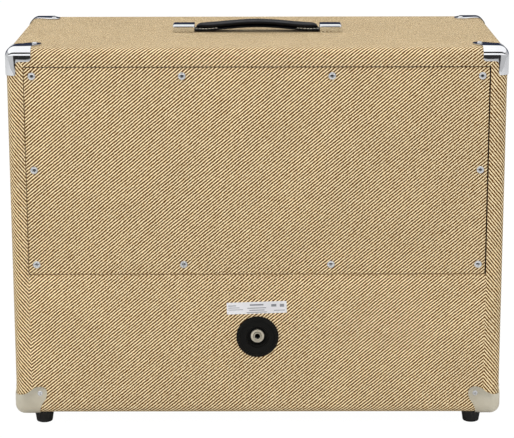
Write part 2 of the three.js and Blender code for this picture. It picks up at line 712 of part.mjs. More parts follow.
const basketProfile = [
  [SPEAKER_FLANGE_RADIUS, 0],
  [SPEAKER_FLANGE_RADIUS, 3.5],
  [144, 3.5],
  [139, 34],
  [104, 62],
  [76, 72],
  [72, PLATE_REAR],
  [COIL_RADIUS + 2, PLATE_REAR],
  [COIL_RADIUS + 2, PLATE_FRONT],
  [64, PLATE_FRONT],
  [67, 69],
  [99.5, 59],
  [135.5, 32.5],
  [140.5, 3.5],
  [140.5, 0],
  [SPEAKER_FLANGE_RADIUS, 0],
];
const basketWhole = turnedY(basketProfile, 0, SPEAKER_Y, SPEAKER_Z, 32);
const BASKET_WINDOWS = 6;
const WINDOW_WIDTH = 62;
const WINDOW_DEPTH = 42;
const WINDOW_START = 12; // behind the flange's front face
const WINDOW_REACH = 90; // along the radius, about a middle at WINDOW_RADIUS
const WINDOW_RADIUS = 120;
const windows = [];
for (let i = 0; i < BASKET_WINDOWS; i++) {
  const geometry = new THREE.BoxGeometry(WINDOW_WIDTH, WINDOW_DEPTH, WINDOW_REACH);
  geometry.translate(0, SPEAKER_Y + WINDOW_START + WINDOW_DEPTH / 2, WINDOW_RADIUS);
  geometry.rotateY(((i + 0.5) * 2 * Math.PI) / BASKET_WINDOWS);
  geometry.translate(0, 0, SPEAKER_Z);
  windows.push(solid(geometry));
}
place("speaker_basket", cut(basketWhole, windows), blackPaint);

const CONE_RIM = 130;
const NECK = COIL_RADIUS + 1.8;
const coneProfile = [
  [NECK, 62],
  [70, 37],
  [CONE_RIM, 8],
  [CONE_RIM, 9.2],
  [70.6, 38.2],
  [NECK, 63.4],
  [NECK, 62],
];
place("speaker_cone", turnedY(coneProfile, 0, SPEAKER_Y, SPEAKER_Z, 32), paper);

const surroundProfile = [
  [CONE_RIM + GAP, 7.5],
  [CONE_RIM + 2.4, 4.8],
  [CONE_RIM + 4.8, 7],
  [CONE_RIM + 7.2, 4.8],
  [139, 6],
  [139, 7],
  [CONE_RIM + 7.2, 5.9],
  [CONE_RIM + 4.8, 8.1],
  [CONE_RIM + 2.4, 5.9],
  [CONE_RIM + GAP, 8.6],
  [CONE_RIM + GAP, 7.5],
];
place("speaker_surround", turnedY(surroundProfile, 0, SPEAKER_Y, SPEAKER_Z, 32), paper);

const CAP_RIM = 38;
const dustCapProfile = [
  [0, 40],
  [20, 43.4],
  [CAP_RIM, 54.2],
  [CAP_RIM, 55],
  [19.7, 44.4],
  [0, 41],
];
place("speaker_dust_cap", turnedY(dustCapProfile, 0, SPEAKER_Y, SPEAKER_Z, 28), paper);

const coilProfile = [
  [COIL_RADIUS, 60],
  [COIL_RADIUS + 1, 60],
  [COIL_RADIUS + 1, 92],
  [COIL_RADIUS, 92],
  [COIL_RADIUS, 60],
];
place("speaker_voice_coil", turnedY(coilProfile, 0, SPEAKER_Y, SPEAKER_Z, 20), copper);

const spiderProfile = [];
const SPIDER_ROLLS = 3;
const SPIDER_INNER = COIL_RADIUS + 1 + GAP;
const SPIDER_OUTER = 63;
const SPIDER_FRONT = 68.5;
const SPIDER_WAVE = 1.5;
const SPIDER_THICKNESS = 0.8;
for (let i = 0; i <= SPIDER_ROLLS * 2; i++) {
  const radius = SPIDER_INNER + ((SPIDER_OUTER - SPIDER_INNER) * i) / (SPIDER_ROLLS * 2);
  spiderProfile.push([radius, SPIDER_FRONT + (i % 2 ? SPIDER_WAVE : 0)]);
}
const spiderBack = spiderProfile
  .map(([radius, along]) => [radius, along + SPIDER_THICKNESS])
  .reverse();
const spiderLoop = [...spiderProfile, ...spiderBack, spiderProfile[0]];
place("speaker_spider", turnedY(spiderLoop, 0, SPEAKER_Y, SPEAKER_Z, 20), paper);

const magnetProfile = [
  [32, PLATE_REAR + GAP],
  [66, PLATE_REAR + GAP],
  [66, MAGNET_REAR],
  [32, MAGNET_REAR],
  [32, PLATE_REAR + GAP],
];
place("speaker_magnet", turnedY(magnetProfile, 0, SPEAKER_Y, SPEAKER_Z, 32), ferrite);

const VENT_RADIUS = 8;
const POLE_RADIUS = COIL_RADIUS - 0.8;
const yokeProfile = [
  [VENT_RADIUS, PLATE_FRONT - 2],
  [POLE_RADIUS, PLATE_FRONT - 2],
  [POLE_RADIUS, MAGNET_REAR + GAP],
  [62, MAGNET_REAR + GAP],
  [62, YOKE_REAR],
  [VENT_RADIUS, YOKE_REAR],
  [VENT_RADIUS, PLATE_FRONT - 2],
];
place("speaker_yoke", turnedY(yokeProfile, 0, SPEAKER_Y, SPEAKER_Z, 28), zinc);

// ---- Lead inside the box, from the jack to the loudspeaker --------------------------------

const WIRE_RADIUS = 1.6;
const WIRE_BED = INSIDE_BASE + WIRE_RADIUS + GAP;
const WIRE_LIFT = 4; // the bends at both ends of the bed start above it
const wireRoute = new THREE.CatmullRomCurve3([
  new THREE.Vector3(0, SOCKET_BACK - BRACKET_REACH - GAP - WIRE_RADIUS, JACK_Z - 8),
  new THREE.Vector3(0, 98, 80),
  new THREE.Vector3(6, 88, 54),
  new THREE.Vector3(10, 66, WIRE_BED + WIRE_LIFT),
  new THREE.Vector3(10, 48, WIRE_BED + 0.5),
  new THREE.Vector3(8, 30, WIRE_BED + 0.3),
  new THREE.Vector3(0, 8, WIRE_BED + 0.5),
  new THREE.Vector3(-4, -8, WIRE_BED + WIRE_LIFT),
  new THREE.Vector3(-6, -28, 52),
  new THREE.Vector3(-4, -46, 72),
  new THREE.Vector3(0, -56, 104),
  new THREE.Vector3(0, SPEAKER_Y + 46, SPEAKER_Z - 127),
]);
const wireSection = new THREE.Shape();
wireSection.absarc(0, 0, WIRE_RADIUS, 0, Math.PI * 2);
const wireGeometry = new THREE.ExtrudeGeometry(wireSection, {
  steps: 32,
  extrudePath: wireRoute,
  curveSegments: 4,
  bevelEnabled: false,
});
place("speaker_wire", solid(wireGeometry), redWire);

export default cabinet;
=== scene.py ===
"""A closed-back guitar speaker cabinet in striped tweed cloth, seen from its rear.

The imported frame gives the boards, the loudspeaker and the joints. This script adds the covering, the metal
corners, the strap handle, the screws, the feet and the jack dish as finely made pieces, and gives every piece
its material. Metres, +Z up, the grille faces -Y and the rear panels face +Y.
"""

import json
import math

import bmesh
import bpy
from mathutils import Matrix, Vector


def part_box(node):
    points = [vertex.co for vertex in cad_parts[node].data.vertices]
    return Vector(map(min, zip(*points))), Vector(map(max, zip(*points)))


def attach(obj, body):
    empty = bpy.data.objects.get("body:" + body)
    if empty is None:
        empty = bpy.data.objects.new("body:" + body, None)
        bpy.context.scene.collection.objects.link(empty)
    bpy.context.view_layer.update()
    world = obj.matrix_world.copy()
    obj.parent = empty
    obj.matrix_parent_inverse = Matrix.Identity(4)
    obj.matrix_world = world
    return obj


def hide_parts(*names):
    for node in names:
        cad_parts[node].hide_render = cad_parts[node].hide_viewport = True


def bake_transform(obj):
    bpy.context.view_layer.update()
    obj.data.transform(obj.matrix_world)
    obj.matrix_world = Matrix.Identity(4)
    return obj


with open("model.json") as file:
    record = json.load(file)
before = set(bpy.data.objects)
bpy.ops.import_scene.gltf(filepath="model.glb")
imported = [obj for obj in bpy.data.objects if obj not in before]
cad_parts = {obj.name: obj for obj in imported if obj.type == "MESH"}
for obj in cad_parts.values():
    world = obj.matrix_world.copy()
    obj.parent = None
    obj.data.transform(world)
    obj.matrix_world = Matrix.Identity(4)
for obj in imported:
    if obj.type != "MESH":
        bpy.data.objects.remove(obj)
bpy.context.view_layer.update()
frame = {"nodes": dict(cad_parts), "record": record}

MM = 0.001
NEAR = 1e-5  # a point this close to a plane counts as lying on it
SAME = 1e-6  # points this close together are one
ALONG = 0.9  # a face whose normal has this much of an axis counts as facing along it

# ---- Sizes taken from the frame ----

SLEEVE_LOW, SLEEVE_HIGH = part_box("cover_sleeve")
SIDE = SLEEVE_HIGH[0]
REAR = SLEEVE_HIGH[1]
FRONT = SLEEVE_LOW[1]
BASE = SLEEVE_LOW[2]
TOP = SLEEVE_HIGH[2]
UPPER_LOW, UPPER_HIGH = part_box("cover_rear_upper")
UPPER_FACE = UPPER_HIGH[1]
LOWER_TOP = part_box("cover_rear_lower")[1][2]
DISH_LOW, DISH_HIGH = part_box("jack_dish")
JACK_Z = (DISH_LOW[2] + DISH_HIGH[2]) / 2
CLOTH_LOW, CLOTH_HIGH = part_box("grille_cloth")
CONE_LOW, CONE_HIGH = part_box("speaker_cone")
SPEAKER_Z = (CONE_LOW[2] + CONE_HIGH[2]) / 2
CAP_LOW, CAP_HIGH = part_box("handle_cap_left")
CAP_INNER = CAP_LOW[0]
STRAP_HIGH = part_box("handle_strap")[1]
GRIP_HALF = STRAP_HIGH[0]

# ---- Sizes of the fine pieces ----

EDGE_RADIUS = 10 * MM  # every outer edge of the covered box
EDGE_STEPS = 8
EDGE_CLOTH = EDGE_RADIUS * math.pi / 2  # length of cloth that goes round an edge
COVER = 1.2 * MM
SIDE_BORDER = 19.3 * MM  # covered edge beside the rear panels
TOP_BORDER = 21 * MM
FRONT_BORDER = 19.5 * MM  # covered edge round the grille
FRONT_RETURN = 3.4 * MM  # the covering turns in round the grille
SEAM_ABOVE = 0.8 * MM  # cut back from the upper rear cover along its top
SEAM_BELOW = 0.25 * MM  # and from both covers along the seam between them
SEAM_WIDE = 1.2 * MM  # the panel hangs a little to one side, so this end's gap is the wider one
SEAM_NARROW = 0.15 * MM

CORNER_GAP = 0.3 * MM
CORNER_SHEET = 1.2 * MM
CORNER_PROUD = CORNER_GAP + CORNER_SHEET
CORNER_STEPS = 10
CORNER_LEG = 28.7 * MM  # reach of a top corner along the level edges
CORNER_DROP = 31 * MM  # and down the upright edge
TOP_LIP = 15 * MM  # its strip along the upper edge of the rear face
SIDE_LIP = 11 * MM  # and down the upright edge of that face
EAR_AT = 30.2 * MM  # centre of a top corner's ears, from both edges
BOTTOM_LEG = 28 * MM
BOTTOM_HEIGHT = 24 * MM
BOTTOM_EAR_IN = 29 * MM
BOTTOM_EAR_UP = 26 * MM
BASE_LIP = 8.7 * MM

PANEL_HEAD = 4.65 * MM
PANEL_HEAD_RISE = 2.2 * MM
CORNER_HEAD = 3.3 * MM
CORNER_HEAD_RISE = 1.6 * MM

STRAP_THICKNESS = 8.4 * MM
STRAP_LIFT = STRAP_HIGH[2] - TOP - STRAP_THICKNESS  # underside of the strap at its middle, above the box
END_LIFT = 1.2 * MM  # and at its ends
BAND = 2.5 * MM  # thickness of the flat band
BAND_HALF = 12 * MM  # half its width at the grip
BAND_END_HALF = 11 * MM  # and in the cap
ROLL = 6.1 * MM  # thickness of the padded roll on the band
ROLL_LIP = 1.2 * MM  # and at its point
ROLL_HALF = 11.8 * MM  # half its width
ROLL_POINT_HALF = 4 * MM
ROLL_END = CAP_INNER - 1.5 * MM
ROLL_TAPER = 7 * MM  # the padding thins over this length
POINT_LENGTH = 19 * MM  # and its outline narrows over this one

CUP_FLOOR = 2 * MM  # thickness of the jack dish's floor
CUP_Y = DISH_LOW[1] + CUP_FLOOR


# ---- Modelling helpers ----

def deselect():
    bpy.ops.object.select_all(action="DESELECT")


def activate(piece):
    deselect()
    piece.select_set(True)
    bpy.context.view_layer.objects.active = piece


def new_piece(name):
    """Names the primitive that was just added and puts its place into its mesh."""
    piece = bpy.context.object
    piece.name = name
    piece.data.name = name
    bpy.ops.object.transform_apply(location=True, rotation=True, scale=True)
    return piece


def block(name, low, high):
    """A box between two corners."""
    deselect()
    size = [b - a for a, b in zip(low, high)]
    middle = [(a + b) / 2 for a, b in zip(low, high)]
    bpy.ops.mesh.primitive_cube_add(size=1, location=middle, scale=size)
    return new_piece(name)


QUARTER = math.pi / 2
TURN_TO = {"X": (0, QUARTER, 0), "Y": (QUARTER, 0, 0), "Z": (0, 0, 0)}


def rod(name, centre, radius, length, axis, sides):
    deselect()
    bpy.ops.mesh.primitive_cylinder_add(
        vertices=sides, radius=radius, depth=length, location=centre, rotation=TURN_TO[axis]
    )
    return new_piece(name)


def pick(piece, kind, test):
    """In edit mode, selects the faces, edges or vertices that pass a test."""
    bpy.ops.mesh.select_mode(type=kind)
    bpy.ops.mesh.select_all(action="DESELECT")
    mesh = bmesh.from_edit_mesh(piece.data)
    mesh.normal_update()
    items = {"FACE": mesh.faces, "EDGE": mesh.edges, "VERT": mesh.verts}[kind]
    for item in items:
        if test(item):
            item.select_set(True)
    bmesh.update_edit_mesh(piece.data)


def middle_of(edge):
    return (edge.verts[0].co + edge.verts[1].co) / 2


def begin_edit(piece):
    activate(piece)
    bpy.ops.object.mode_set(mode="EDIT")
    bpy.ops.mesh.select_mode(type="VERT")
    bpy.ops.mesh.select_all(action="SELECT")


def end_edit():
    bpy.ops.object.mode_set(mode="OBJECT")


def bevel_edges(piece, test, width, segments):
    begin_edit(piece)
    pick(piece, "EDGE", test)
    bpy.ops.mesh.bevel(offset=width, segments=segments, profile=0.5, affect="EDGES")
    end_edit()


def slice_mesh(piece, point, normal, clear_outer=False):
    """Cuts the mesh along a plane, and drops what lies beyond it if asked."""
    begin_edit(piece)
    bpy.ops.mesh.bisect(plane_co=point, plane_no=normal, clear_outer=clear_outer)
    end_edit()


def delete_faces(piece, test):
    begin_edit(piece)
    pick(piece, "FACE", test)
    bpy.ops.mesh.delete(type="FACE")
    end_edit()


def tidy(piece, distance=SAME):
    """Merges doubled vertices and turns every face outwards."""
    begin_edit(piece)
    bpy.ops.mesh.remove_doubles(threshold=distance)
    bpy.ops.mesh.select_all(action="SELECT")
    bpy.ops.mesh.normals_make_consistent(inside=False)
    end_edit()


def modify(piece, kind, **settings):
    """Adds a modifier with its settings and applies it."""
    activate(piece)
    modifier = piece.modifiers.new(kind.lower(), kind)
    for name, value in settings.items():
        setattr(modifier, name, value)
    bpy.ops.object.modifier_apply(modifier=modifier.name)


def combine(piece, tool, operation):
    """Joins, cuts or keeps the overlap of two closed shapes. The tool is used up."""
    modify(piece, "BOOLEAN", object=tool, operation=operation, solver="EXACT")
    bpy.data.objects.remove(tool)


def ease_edges(piece, width, segments, degrees):
    """Rounds every edge that is sharper than an angle."""
    limit = math.radians(degrees)
    modify(piece, "BEVEL", width=width, segments=segments, limit_method="ANGLE", angle_limit=limit)


def smooth(piece, degrees):
    activate(piece)
    bpy.ops.object.shade_smooth_by_angle(angle=math.radians(degrees))


def copy_of(piece, name, offset=(0, 0, 0)):
    twin = piece.copy()
    twin.data = piece.data.copy()
    twin.name = name
    twin.data.name = name
    bpy.context.scene.collection.objects.link(twin)
    twin.data.transform(Matrix.Translation(offset))
    return twin


def turn_mesh(piece, matrix):
    """Turns or mirrors the mesh about the origin; a mirror also turns its faces back out."""
    piece.data.transform(matrix)
    if matrix.determinant() < 0:
        piece.data.flip_normals()


def to_side(piece, side):
    """Mirrors a piece made for the left side (1) if it goes on the right (-1)."""
    if side < 0:
        turn_mesh(piece, Matrix.Diagonal((-1, 1, 1, 1)))


def join_all(name, pieces):
    deselect()
    for piece in pieces:
        piece.select_set(True)
    bpy.context.view_layer.objects.active = pieces[0]
    bpy.ops.object.join()
    pieces[0].name = name
    pieces[0].data.name = name
    return pieces[0]


def vertex_chain(name, points):
    """One vertex, extruded from point to point."""
    deselect()
    bpy.ops.mesh.primitive_plane_add(size=MM)
    piece = new_piece(name)
    begin_edit(piece)
    bpy.ops.mesh.merge(type="CENTER")
    bpy.ops.mesh.select_all(action="SELECT")
    bpy.ops.transform.translate(value=points[0])
    for start, end in zip(points, points[1:]):
        bpy.ops.mesh.extrude_vertices_move(TRANSFORM_OT_translate={"value": Vector(end) - Vector(start)})
    end_edit()
    return piece


AXES = {"X": Vector((1, 0, 0)), "Y": Vector((0, 1, 0)), "Z": Vector((0, 0, 1))}


def in_metres(profile):
    return [(radius * MM, height * MM) for radius, height in profile]


def turned(name, profile, centre, axis, steps):
    """A shape turned about an axis. Each profile point is (radius, distance along the axis)."""
    along = AXES[axis]
    points = [Vector(centre) + AXES["X"] * radius + along * height for radius, height in profile]
    piece = vertex_chain(name, points)
    begin_edit(piece)
    bpy.ops.mesh.spin(steps=steps, angle=2 * math.pi, center=centre, axis=along)
    end_edit()
    tidy(piece)
    return piece


def plate_outline(name, outline, plane, start, depth):
    """A flat outline, extruded. Each outline point is (a, b, rounding), in the plane's two axes."""
    first, second, third = plane
    flat = [AXES[first] * a + AXES[second] * b + AXES[third] * start for a, b, _ in outline]
    piece = vertex_chain(name, flat)
    begin_edit(piece)
    bpy.ops.mesh.edge_face_add()
    end_edit()
    for place, (_, _, rounding) in zip(flat, outline):
        if rounding:
            begin_edit(piece)
            pick(piece, "VERT", lambda v: (v.co - place).length < SAME)
            bpy.ops.mesh.bevel(offset=rounding, segments=6, affect="VERTICES")
            end_edit()
    begin_edit(piece)
    bpy.ops.mesh.select_mode(type="FACE")
    bpy.ops.mesh.extrude_region_move(TRANSFORM_OT_translate={"value": AXES[third] * depth})
    end_edit()
    tidy(piece)
    return piece


def rounded_block(name, low, high, radius, segments):
    piece = block(name, low, high)
    bevel_edges(piece, lambda edge: True, radius, segments)
    return piece


# ---- Node helpers ----

def add_node(tree, kind, inputs=(), **settings):
    """Adds a node. inputs are (socket, value or output) pairs."""
    node = tree.nodes.new(kind)
    for name, value in settings.items():
        setattr(node, name, value)
    for socket, value in inputs:
        if isinstance(value, bpy.types.NodeSocket):
            tree.links.new(value, node.inputs[socket])
        else:
            node.inputs[socket].default_value = value
    return node


def axes_of(tree, vector):
    return add_node(tree, "ShaderNodeSeparateXYZ", [(0, vector)]).outputs


def calculate(tree, operation, first, second=0.0, third=0.0):
    pairs = [(0, first), (1, second), (2, third)]
    return add_node(tree, "ShaderNodeMath", pairs, operation=operation).outputs[0]


def product(tree, first, second):
    return calculate(tree, "MULTIPLY", first, second)


def total(tree, first, second):
    return calculate(tree, "ADD", first, second)


def wave(tree, value, length):
    """A sine with one turn to each length."""
    return calculate(tree, "SINE", product(tree, value, math.tau / length))


def remap(tree, value, low, high, new_low=0.0, new_high=1.0, soft=False):
    kind = "SMOOTHSTEP" if soft else "LINEAR"
    ends = [("From Min", low), ("From Max", high), ("To Min", new_low), ("To Max", new_high)]
    return add_node(tree, "ShaderNodeMapRange", [("Value", value), *ends], interpolation_type=kind).outputs[0]


def blend_colors(tree, share, first, second):
    pairs = [(0, share), (6, first), (7, second)]
    return add_node(tree, "ShaderNodeMix", pairs, data_type="RGBA").outputs[2]


def noise(tree, vector, scale, detail=2.0, roughness=0.5):
    pairs = [("Vector", vector), ("Scale", scale), ("Detail", detail), ("Roughness", roughness)]
    return add_node(tree, "ShaderNodeTexNoise", pairs).outputs["Fac"]


def srgb(red, green, blue):
    """A colour given as 0 to 255, as the linear colour that nodes take."""
    linear = [pow((c / 255 + 0.055) / 1.055, 2.4) if c > 10 else c / 255 / 12.92 for c in (red, green, blue)]
    return (*linear, 1.0)


def new_group(name, inputs, outputs):
    """A group that takes a vector and values, and puts out values."""
    group = bpy.data.node_groups.new(name, "ShaderNodeTree")
    for socket in inputs:
        kind = "NodeSocketVector" if socket == "Vector" else "NodeSocketFloat"
        group.interface.new_socket(socket, in_out="INPUT", socket_type=kind)
    for socket in outputs:
        group.interface.new_socket(socket, in_out="OUTPUT", socket_type="NodeSocketFloat")
    return group, group.nodes.new("NodeGroupInput"), group.nodes.new("NodeGroupOutput")


def put_out(group, end, values):
    for socket, value in values.items():
        group.links.new(value, end.inputs[socket])


def weave_group():
    """Diagonal stripes of two threads. Puts out the stripe mask, the thread relief and a fleck mask."""
    inputs = ["Vector", "Pitch", "Slope", "Bead"]
    group, start, end = new_group("diagonal weave", inputs, ["Stripe", "Relief", "Fleck"])
    place = start.outputs["Vector"]
    across, along, _ = axes_of(group, place)
    sine = calculate(group, "SINE", start.outputs["Slope"])
    cosine = calculate(group, "COSINE", start.outputs["Slope"])
    count = total(group, product(group, across, sine), product(group, along, cosine))
    count = calculate(group, "DIVIDE", count, start.outputs["Pitch"])
    length = calculate(group, "SUBTRACT", product(group, across, cosine), product(group, along, sine))
    length = calculate(group, "DIVIDE", length, start.outputs["Bead"])
    # The stripes drift over a few centimetres and waver over a few millimetres.
    for scale, detail, reach in ((45.0, 2.0, 0.10), (420.0, 1.0, 0.09)):
        wander = remap(group, noise(group, place, scale, detail), 0.25, 0.75, -reach, reach)
        count = total(group, count, wander)
    stripe_number = calculate(group, "FLOOR", product(group, count, 2.0))
    stagger = product(group, stripe_number, 0.5)
    beads = wave(group, total(group, length, stagger), 1.0)
    ridges = wave(group, count, 1.0)
    scallop = 0.22  # how far a bead of thread reaches into the next stripe
    scalloped = calculate(group, "MULTIPLY_ADD", beads, scallop, ridges)
    dark_edge = -0.26
    light_edge = 0.40
    stripe = remap(group, scalloped, dark_edge, light_edge, soft=True)
    rounded = calculate(group, "POWER", calculate(group, "ABSOLUTE", ridges), 0.6)
    relief = product(group, rounded, remap(group, beads, -1, 1, 0.72, 1.0))
    fleck = remap(group, noise(group, place, 700.0, 2.0, 0.6), 0.3, 0.7, soft=True)
    put_out(group, end, {"Stripe": stripe, "Relief": relief, "Fleck": fleck})
    return group


def grain_group():
    """Cloudy unevenness at one scale with fine speckle on it, for handled and cast surfaces."""
    group, start, end = new_group("uneven surface", ["Vector", "Scale", "Fine"], ["Cloud", "Speckle"])
    place = start.outputs["Vector"]
    cloud = remap(group, noise(group, place, start.outputs["Scale"], 3.0), 0.3, 0.7, soft=True)
    speckle = remap(group, noise(group, place, start.outputs["Fine"], 2.0, 0.6), 0.25, 0.75)
    put_out(group, end, {"Cloud": cloud, "Speckle": speckle})
    return group


WEAVE = weave_group()
GRAIN = grain_group()
MATERIALS = {}


def new_material(name, color, roughness, metallic=0.0, **plain):
    """A material with its shader's own sockets set. Returns the tree and the shader."""
    material = bpy.data.materials.new(name)
    material.use_nodes = True
    material.diffuse_color = color
    MATERIALS[name] = material
    tree = material.node_tree
    shader = tree.nodes["Principled BSDF"]
    shader.inputs["Base Color"].default_value = color
    shader.inputs["Roughness"].default_value = roughness
    shader.inputs["Metallic"].default_value = metallic
    for socket, value in plain.items():
        shader.inputs[socket.replace("_", " ")].default_value = value
    return tree, shader


def object_place(tree):
    return add_node(tree, "ShaderNodeTexCoord").outputs["Object"]


def laid_place(tree):
    """Where a point lies on the cloth, from the piece's own weave map."""
    return add_node(tree, "ShaderNodeUVMap", uv_map="weave").outputs["UV"]


def grouped(tree, group, inputs):
    return add_node(tree, "ShaderNodeGroup", inputs, node_tree=group)


def dress(tree, shader, color, relief, strength, depth, gloss=None):
    """Wires a material's colour and relief, and its roughness where that varies."""
    tree.links.new(color, shader.inputs["Base Color"])
    if gloss:
        tree.links.new(gloss, shader.inputs["Roughness"])
    pairs = [("Height", relief), ("Strength", strength), ("Distance", depth)]
    bump = add_node(tree, "ShaderNodeBump", pairs)
    tree.links.new(bump.outputs["Normal"], shader.inputs["Normal"])


def tweed_material():
    cream = srgb(252, 235, 196)
    warm_cream = srgb(242, 215, 164)
    brown = srgb(108, 66, 8)
    deep_brown = srgb(78, 46, 4)
    pitch = 3.0 * MM
    bead = 1.7 * MM
    slope = math.radians(40)
    tree, shader = new_material("tweed", srgb(186, 159, 117), 0.6, Sheen_Weight=0.02, Sheen_Roughness=0.5,
                                Sheen_Tint=srgb(255, 238, 215), Specular_IOR_Level=0.06)
    place = laid_place(tree)
    weave = grouped(tree, WEAVE, [("Vector", place), ("Pitch", pitch), ("Slope", slope), ("Bead", bead)])
    light = blend_colors(tree, weave.outputs["Fleck"], warm_cream, cream)
    dark = blend_colors(tree, weave.outputs["Fleck"], deep_brown, brown)
    cloth = blend_colors(tree, weave.outputs["Stripe"], dark, light)
    uneven = grouped(tree, GRAIN, [("Vector", place), ("Scale", 14.0), ("Fine", 90.0)])
    tone = remap(tree, uneven.outputs["Cloud"], 0, 1, 0.95, 1.01)
    toned = add_node(tree, "ShaderNodeHueSaturation", [("Value", tone), ("Color", cloth)]).outputs[0]
    gloss = remap(tree, uneven.outputs["Speckle"], 0, 1, 0.48, 0.66)
    dress(tree, shader, toned, weave.outputs["Relief"], 0.5, 0.35 * MM, gloss)


def grille_material():
    thread = 1.6 * MM
    line_spacing = 6 * thread
    tree, shader = new_material("grille_fabric", srgb(70, 44, 30), 0.8, Sheen_Weight=0.2)
    across, along, _ = axes_of(tree, laid_place(tree))
    check = product(tree, wave(tree, across, thread), wave(tree, along, thread))
    over = remap(tree, check, -0.4, 0.4, soft=True)
    pale_line = remap(tree, wave(tree, across, line_spacing), 0.93, 0.99)
    brown = blend_colors(tree, over, srgb(46, 27, 18), srgb(112, 72, 48))
    cloth = blend_colors(tree, pale_line, brown, srgb(198, 168, 112))
    dress(tree, shader, cloth, over, 0.6, 0.3 * MM)


def plain_grained(name, color, second, roughness, spread=0.12, metallic=0.0, fine=900.0,
                  strength=0.1, depth=0.1 * MM, **plain):
    """A surface of two near tones with cloudy roughness and a fine relief."""
    tree, shader = new_material(name, color, roughness, metallic, **plain)
    grain = grouped(tree, GRAIN, [("Vector", object_place(tree)), ("Scale", 30.0), ("Fine", fine)])
    tone = blend_colors(tree, grain.outputs["Cloud"], color, second)
    smoothest = max(0.02, roughness - spread)
    gloss = remap(tree, grain.outputs["Cloud"], 0, 1, smoothest, roughness + spread)
    dress(tree, shader, tone, grain.outputs["Speckle"], strength, depth, gloss)


def wood_material(name, color, second, layered=False, painted_seam_shade=False):
    """Planed wood. Layered wood shows its veneers. The upper rear panel's rim gets a dark band of painted
    shade for the seams round its cover.
    """
    tree, shader = new_material(name, color, 0.7)
    place = object_place(tree)
    across, depth, height = axes_of(tree, place)
    along_the_grain = (4, 60, 60)
    pairs = [("Vector", place), ("Scale", along_the_grain)]
    stretched = add_node(tree, "ShaderNodeMapping", pairs).outputs[0]
    figure = remap(tree, noise(tree, stretched, 3.0, 6.0, 0.6), 0.3, 0.7, soft=True)
    wood = blend_colors(tree, figure, color, second)
    if layered:
        ply = 1.5 * MM
        layers = wave(tree, total(tree, depth, height), 2 * ply)
        veneer = remap(tree, layers, -0.2, 0.2, 0.0, 0.35, soft=True)
        wood = blend_colors(tree, veneer, wood, srgb(150, 112, 72))
    # Painted shade: a dark band round the upper rear panel's rim darkens the seams round its cover, where
    # shade falls.
    if painted_seam_shade:
        rim = 5 * MM
        middle = (UPPER_LOW[2] + UPPER_HIGH[2]) / 2
        half = (UPPER_HIGH[2] - UPPER_LOW[2]) / 2

        def beyond(value, limit):
            return calculate(tree, "GREATER_THAN", calculate(tree, "ABSOLUTE", value), limit)

        side = beyond(across, UPPER_HIGH[0] - rim)
        end = beyond(calculate(tree, "SUBTRACT", height, middle), half - rim)
        wood = blend_colors(tree, calculate(tree, "MAXIMUM", side, end), wood, srgb(26, 16, 8))
    dress(tree, shader, wood, figure, 0.2, 0.2 * MM)


def leather_material():
    tree, shader = new_material("handle_leather", srgb(10, 10, 14), 0.36, Coat_Weight=0.03,
                                Coat_Roughness=0.35, Specular_IOR_Level=0.14)
    place = object_place(tree)
    pairs = [("Vector", place), ("Scale", 900.0)]
    cells = add_node(tree, "ShaderNodeTexVoronoi", pairs, feature="DISTANCE_TO_EDGE")
    pebble = remap(tree, cells.outputs["Distance"], 0.0, 0.25, soft=True)
    grain = grouped(tree, GRAIN, [("Vector", place), ("Scale", 120.0), ("Fine", 1800.0)])
    tone = blend_colors(tree, grain.outputs["Cloud"], srgb(6, 6, 9), srgb(13, 13, 18))
    gloss = remap(tree, grain.outputs["Cloud"], 0, 1, 0.28, 0.44)
    dress(tree, shader, tone, pebble, 0.35, 0.15 * MM, gloss)


def ribbed_material(name, color, second, roughness, pitch):
    """Fine rings about the loudspeaker's axis, for pressed paper and treated cloth."""
    tree, shader = new_material(name, color, roughness)
    place = object_place(tree)
    pairs = [("Vector", place), ("Location", (0, 0, -SPEAKER_Z))]
    across, _, height = axes_of(tree, add_node(tree, "ShaderNodeMapping", pairs).outputs[0])
    square = total(tree, product(tree, across, across), product(tree, height, height))
    rings = wave(tree, calculate(tree, "SQRT", square), pitch)
    tone = blend_colors(tree, noise(tree, place, 260.0, 3.0, 0.6), color, second)
    dress(tree, shader, tone, rings, 0.25, 0.2 * MM)


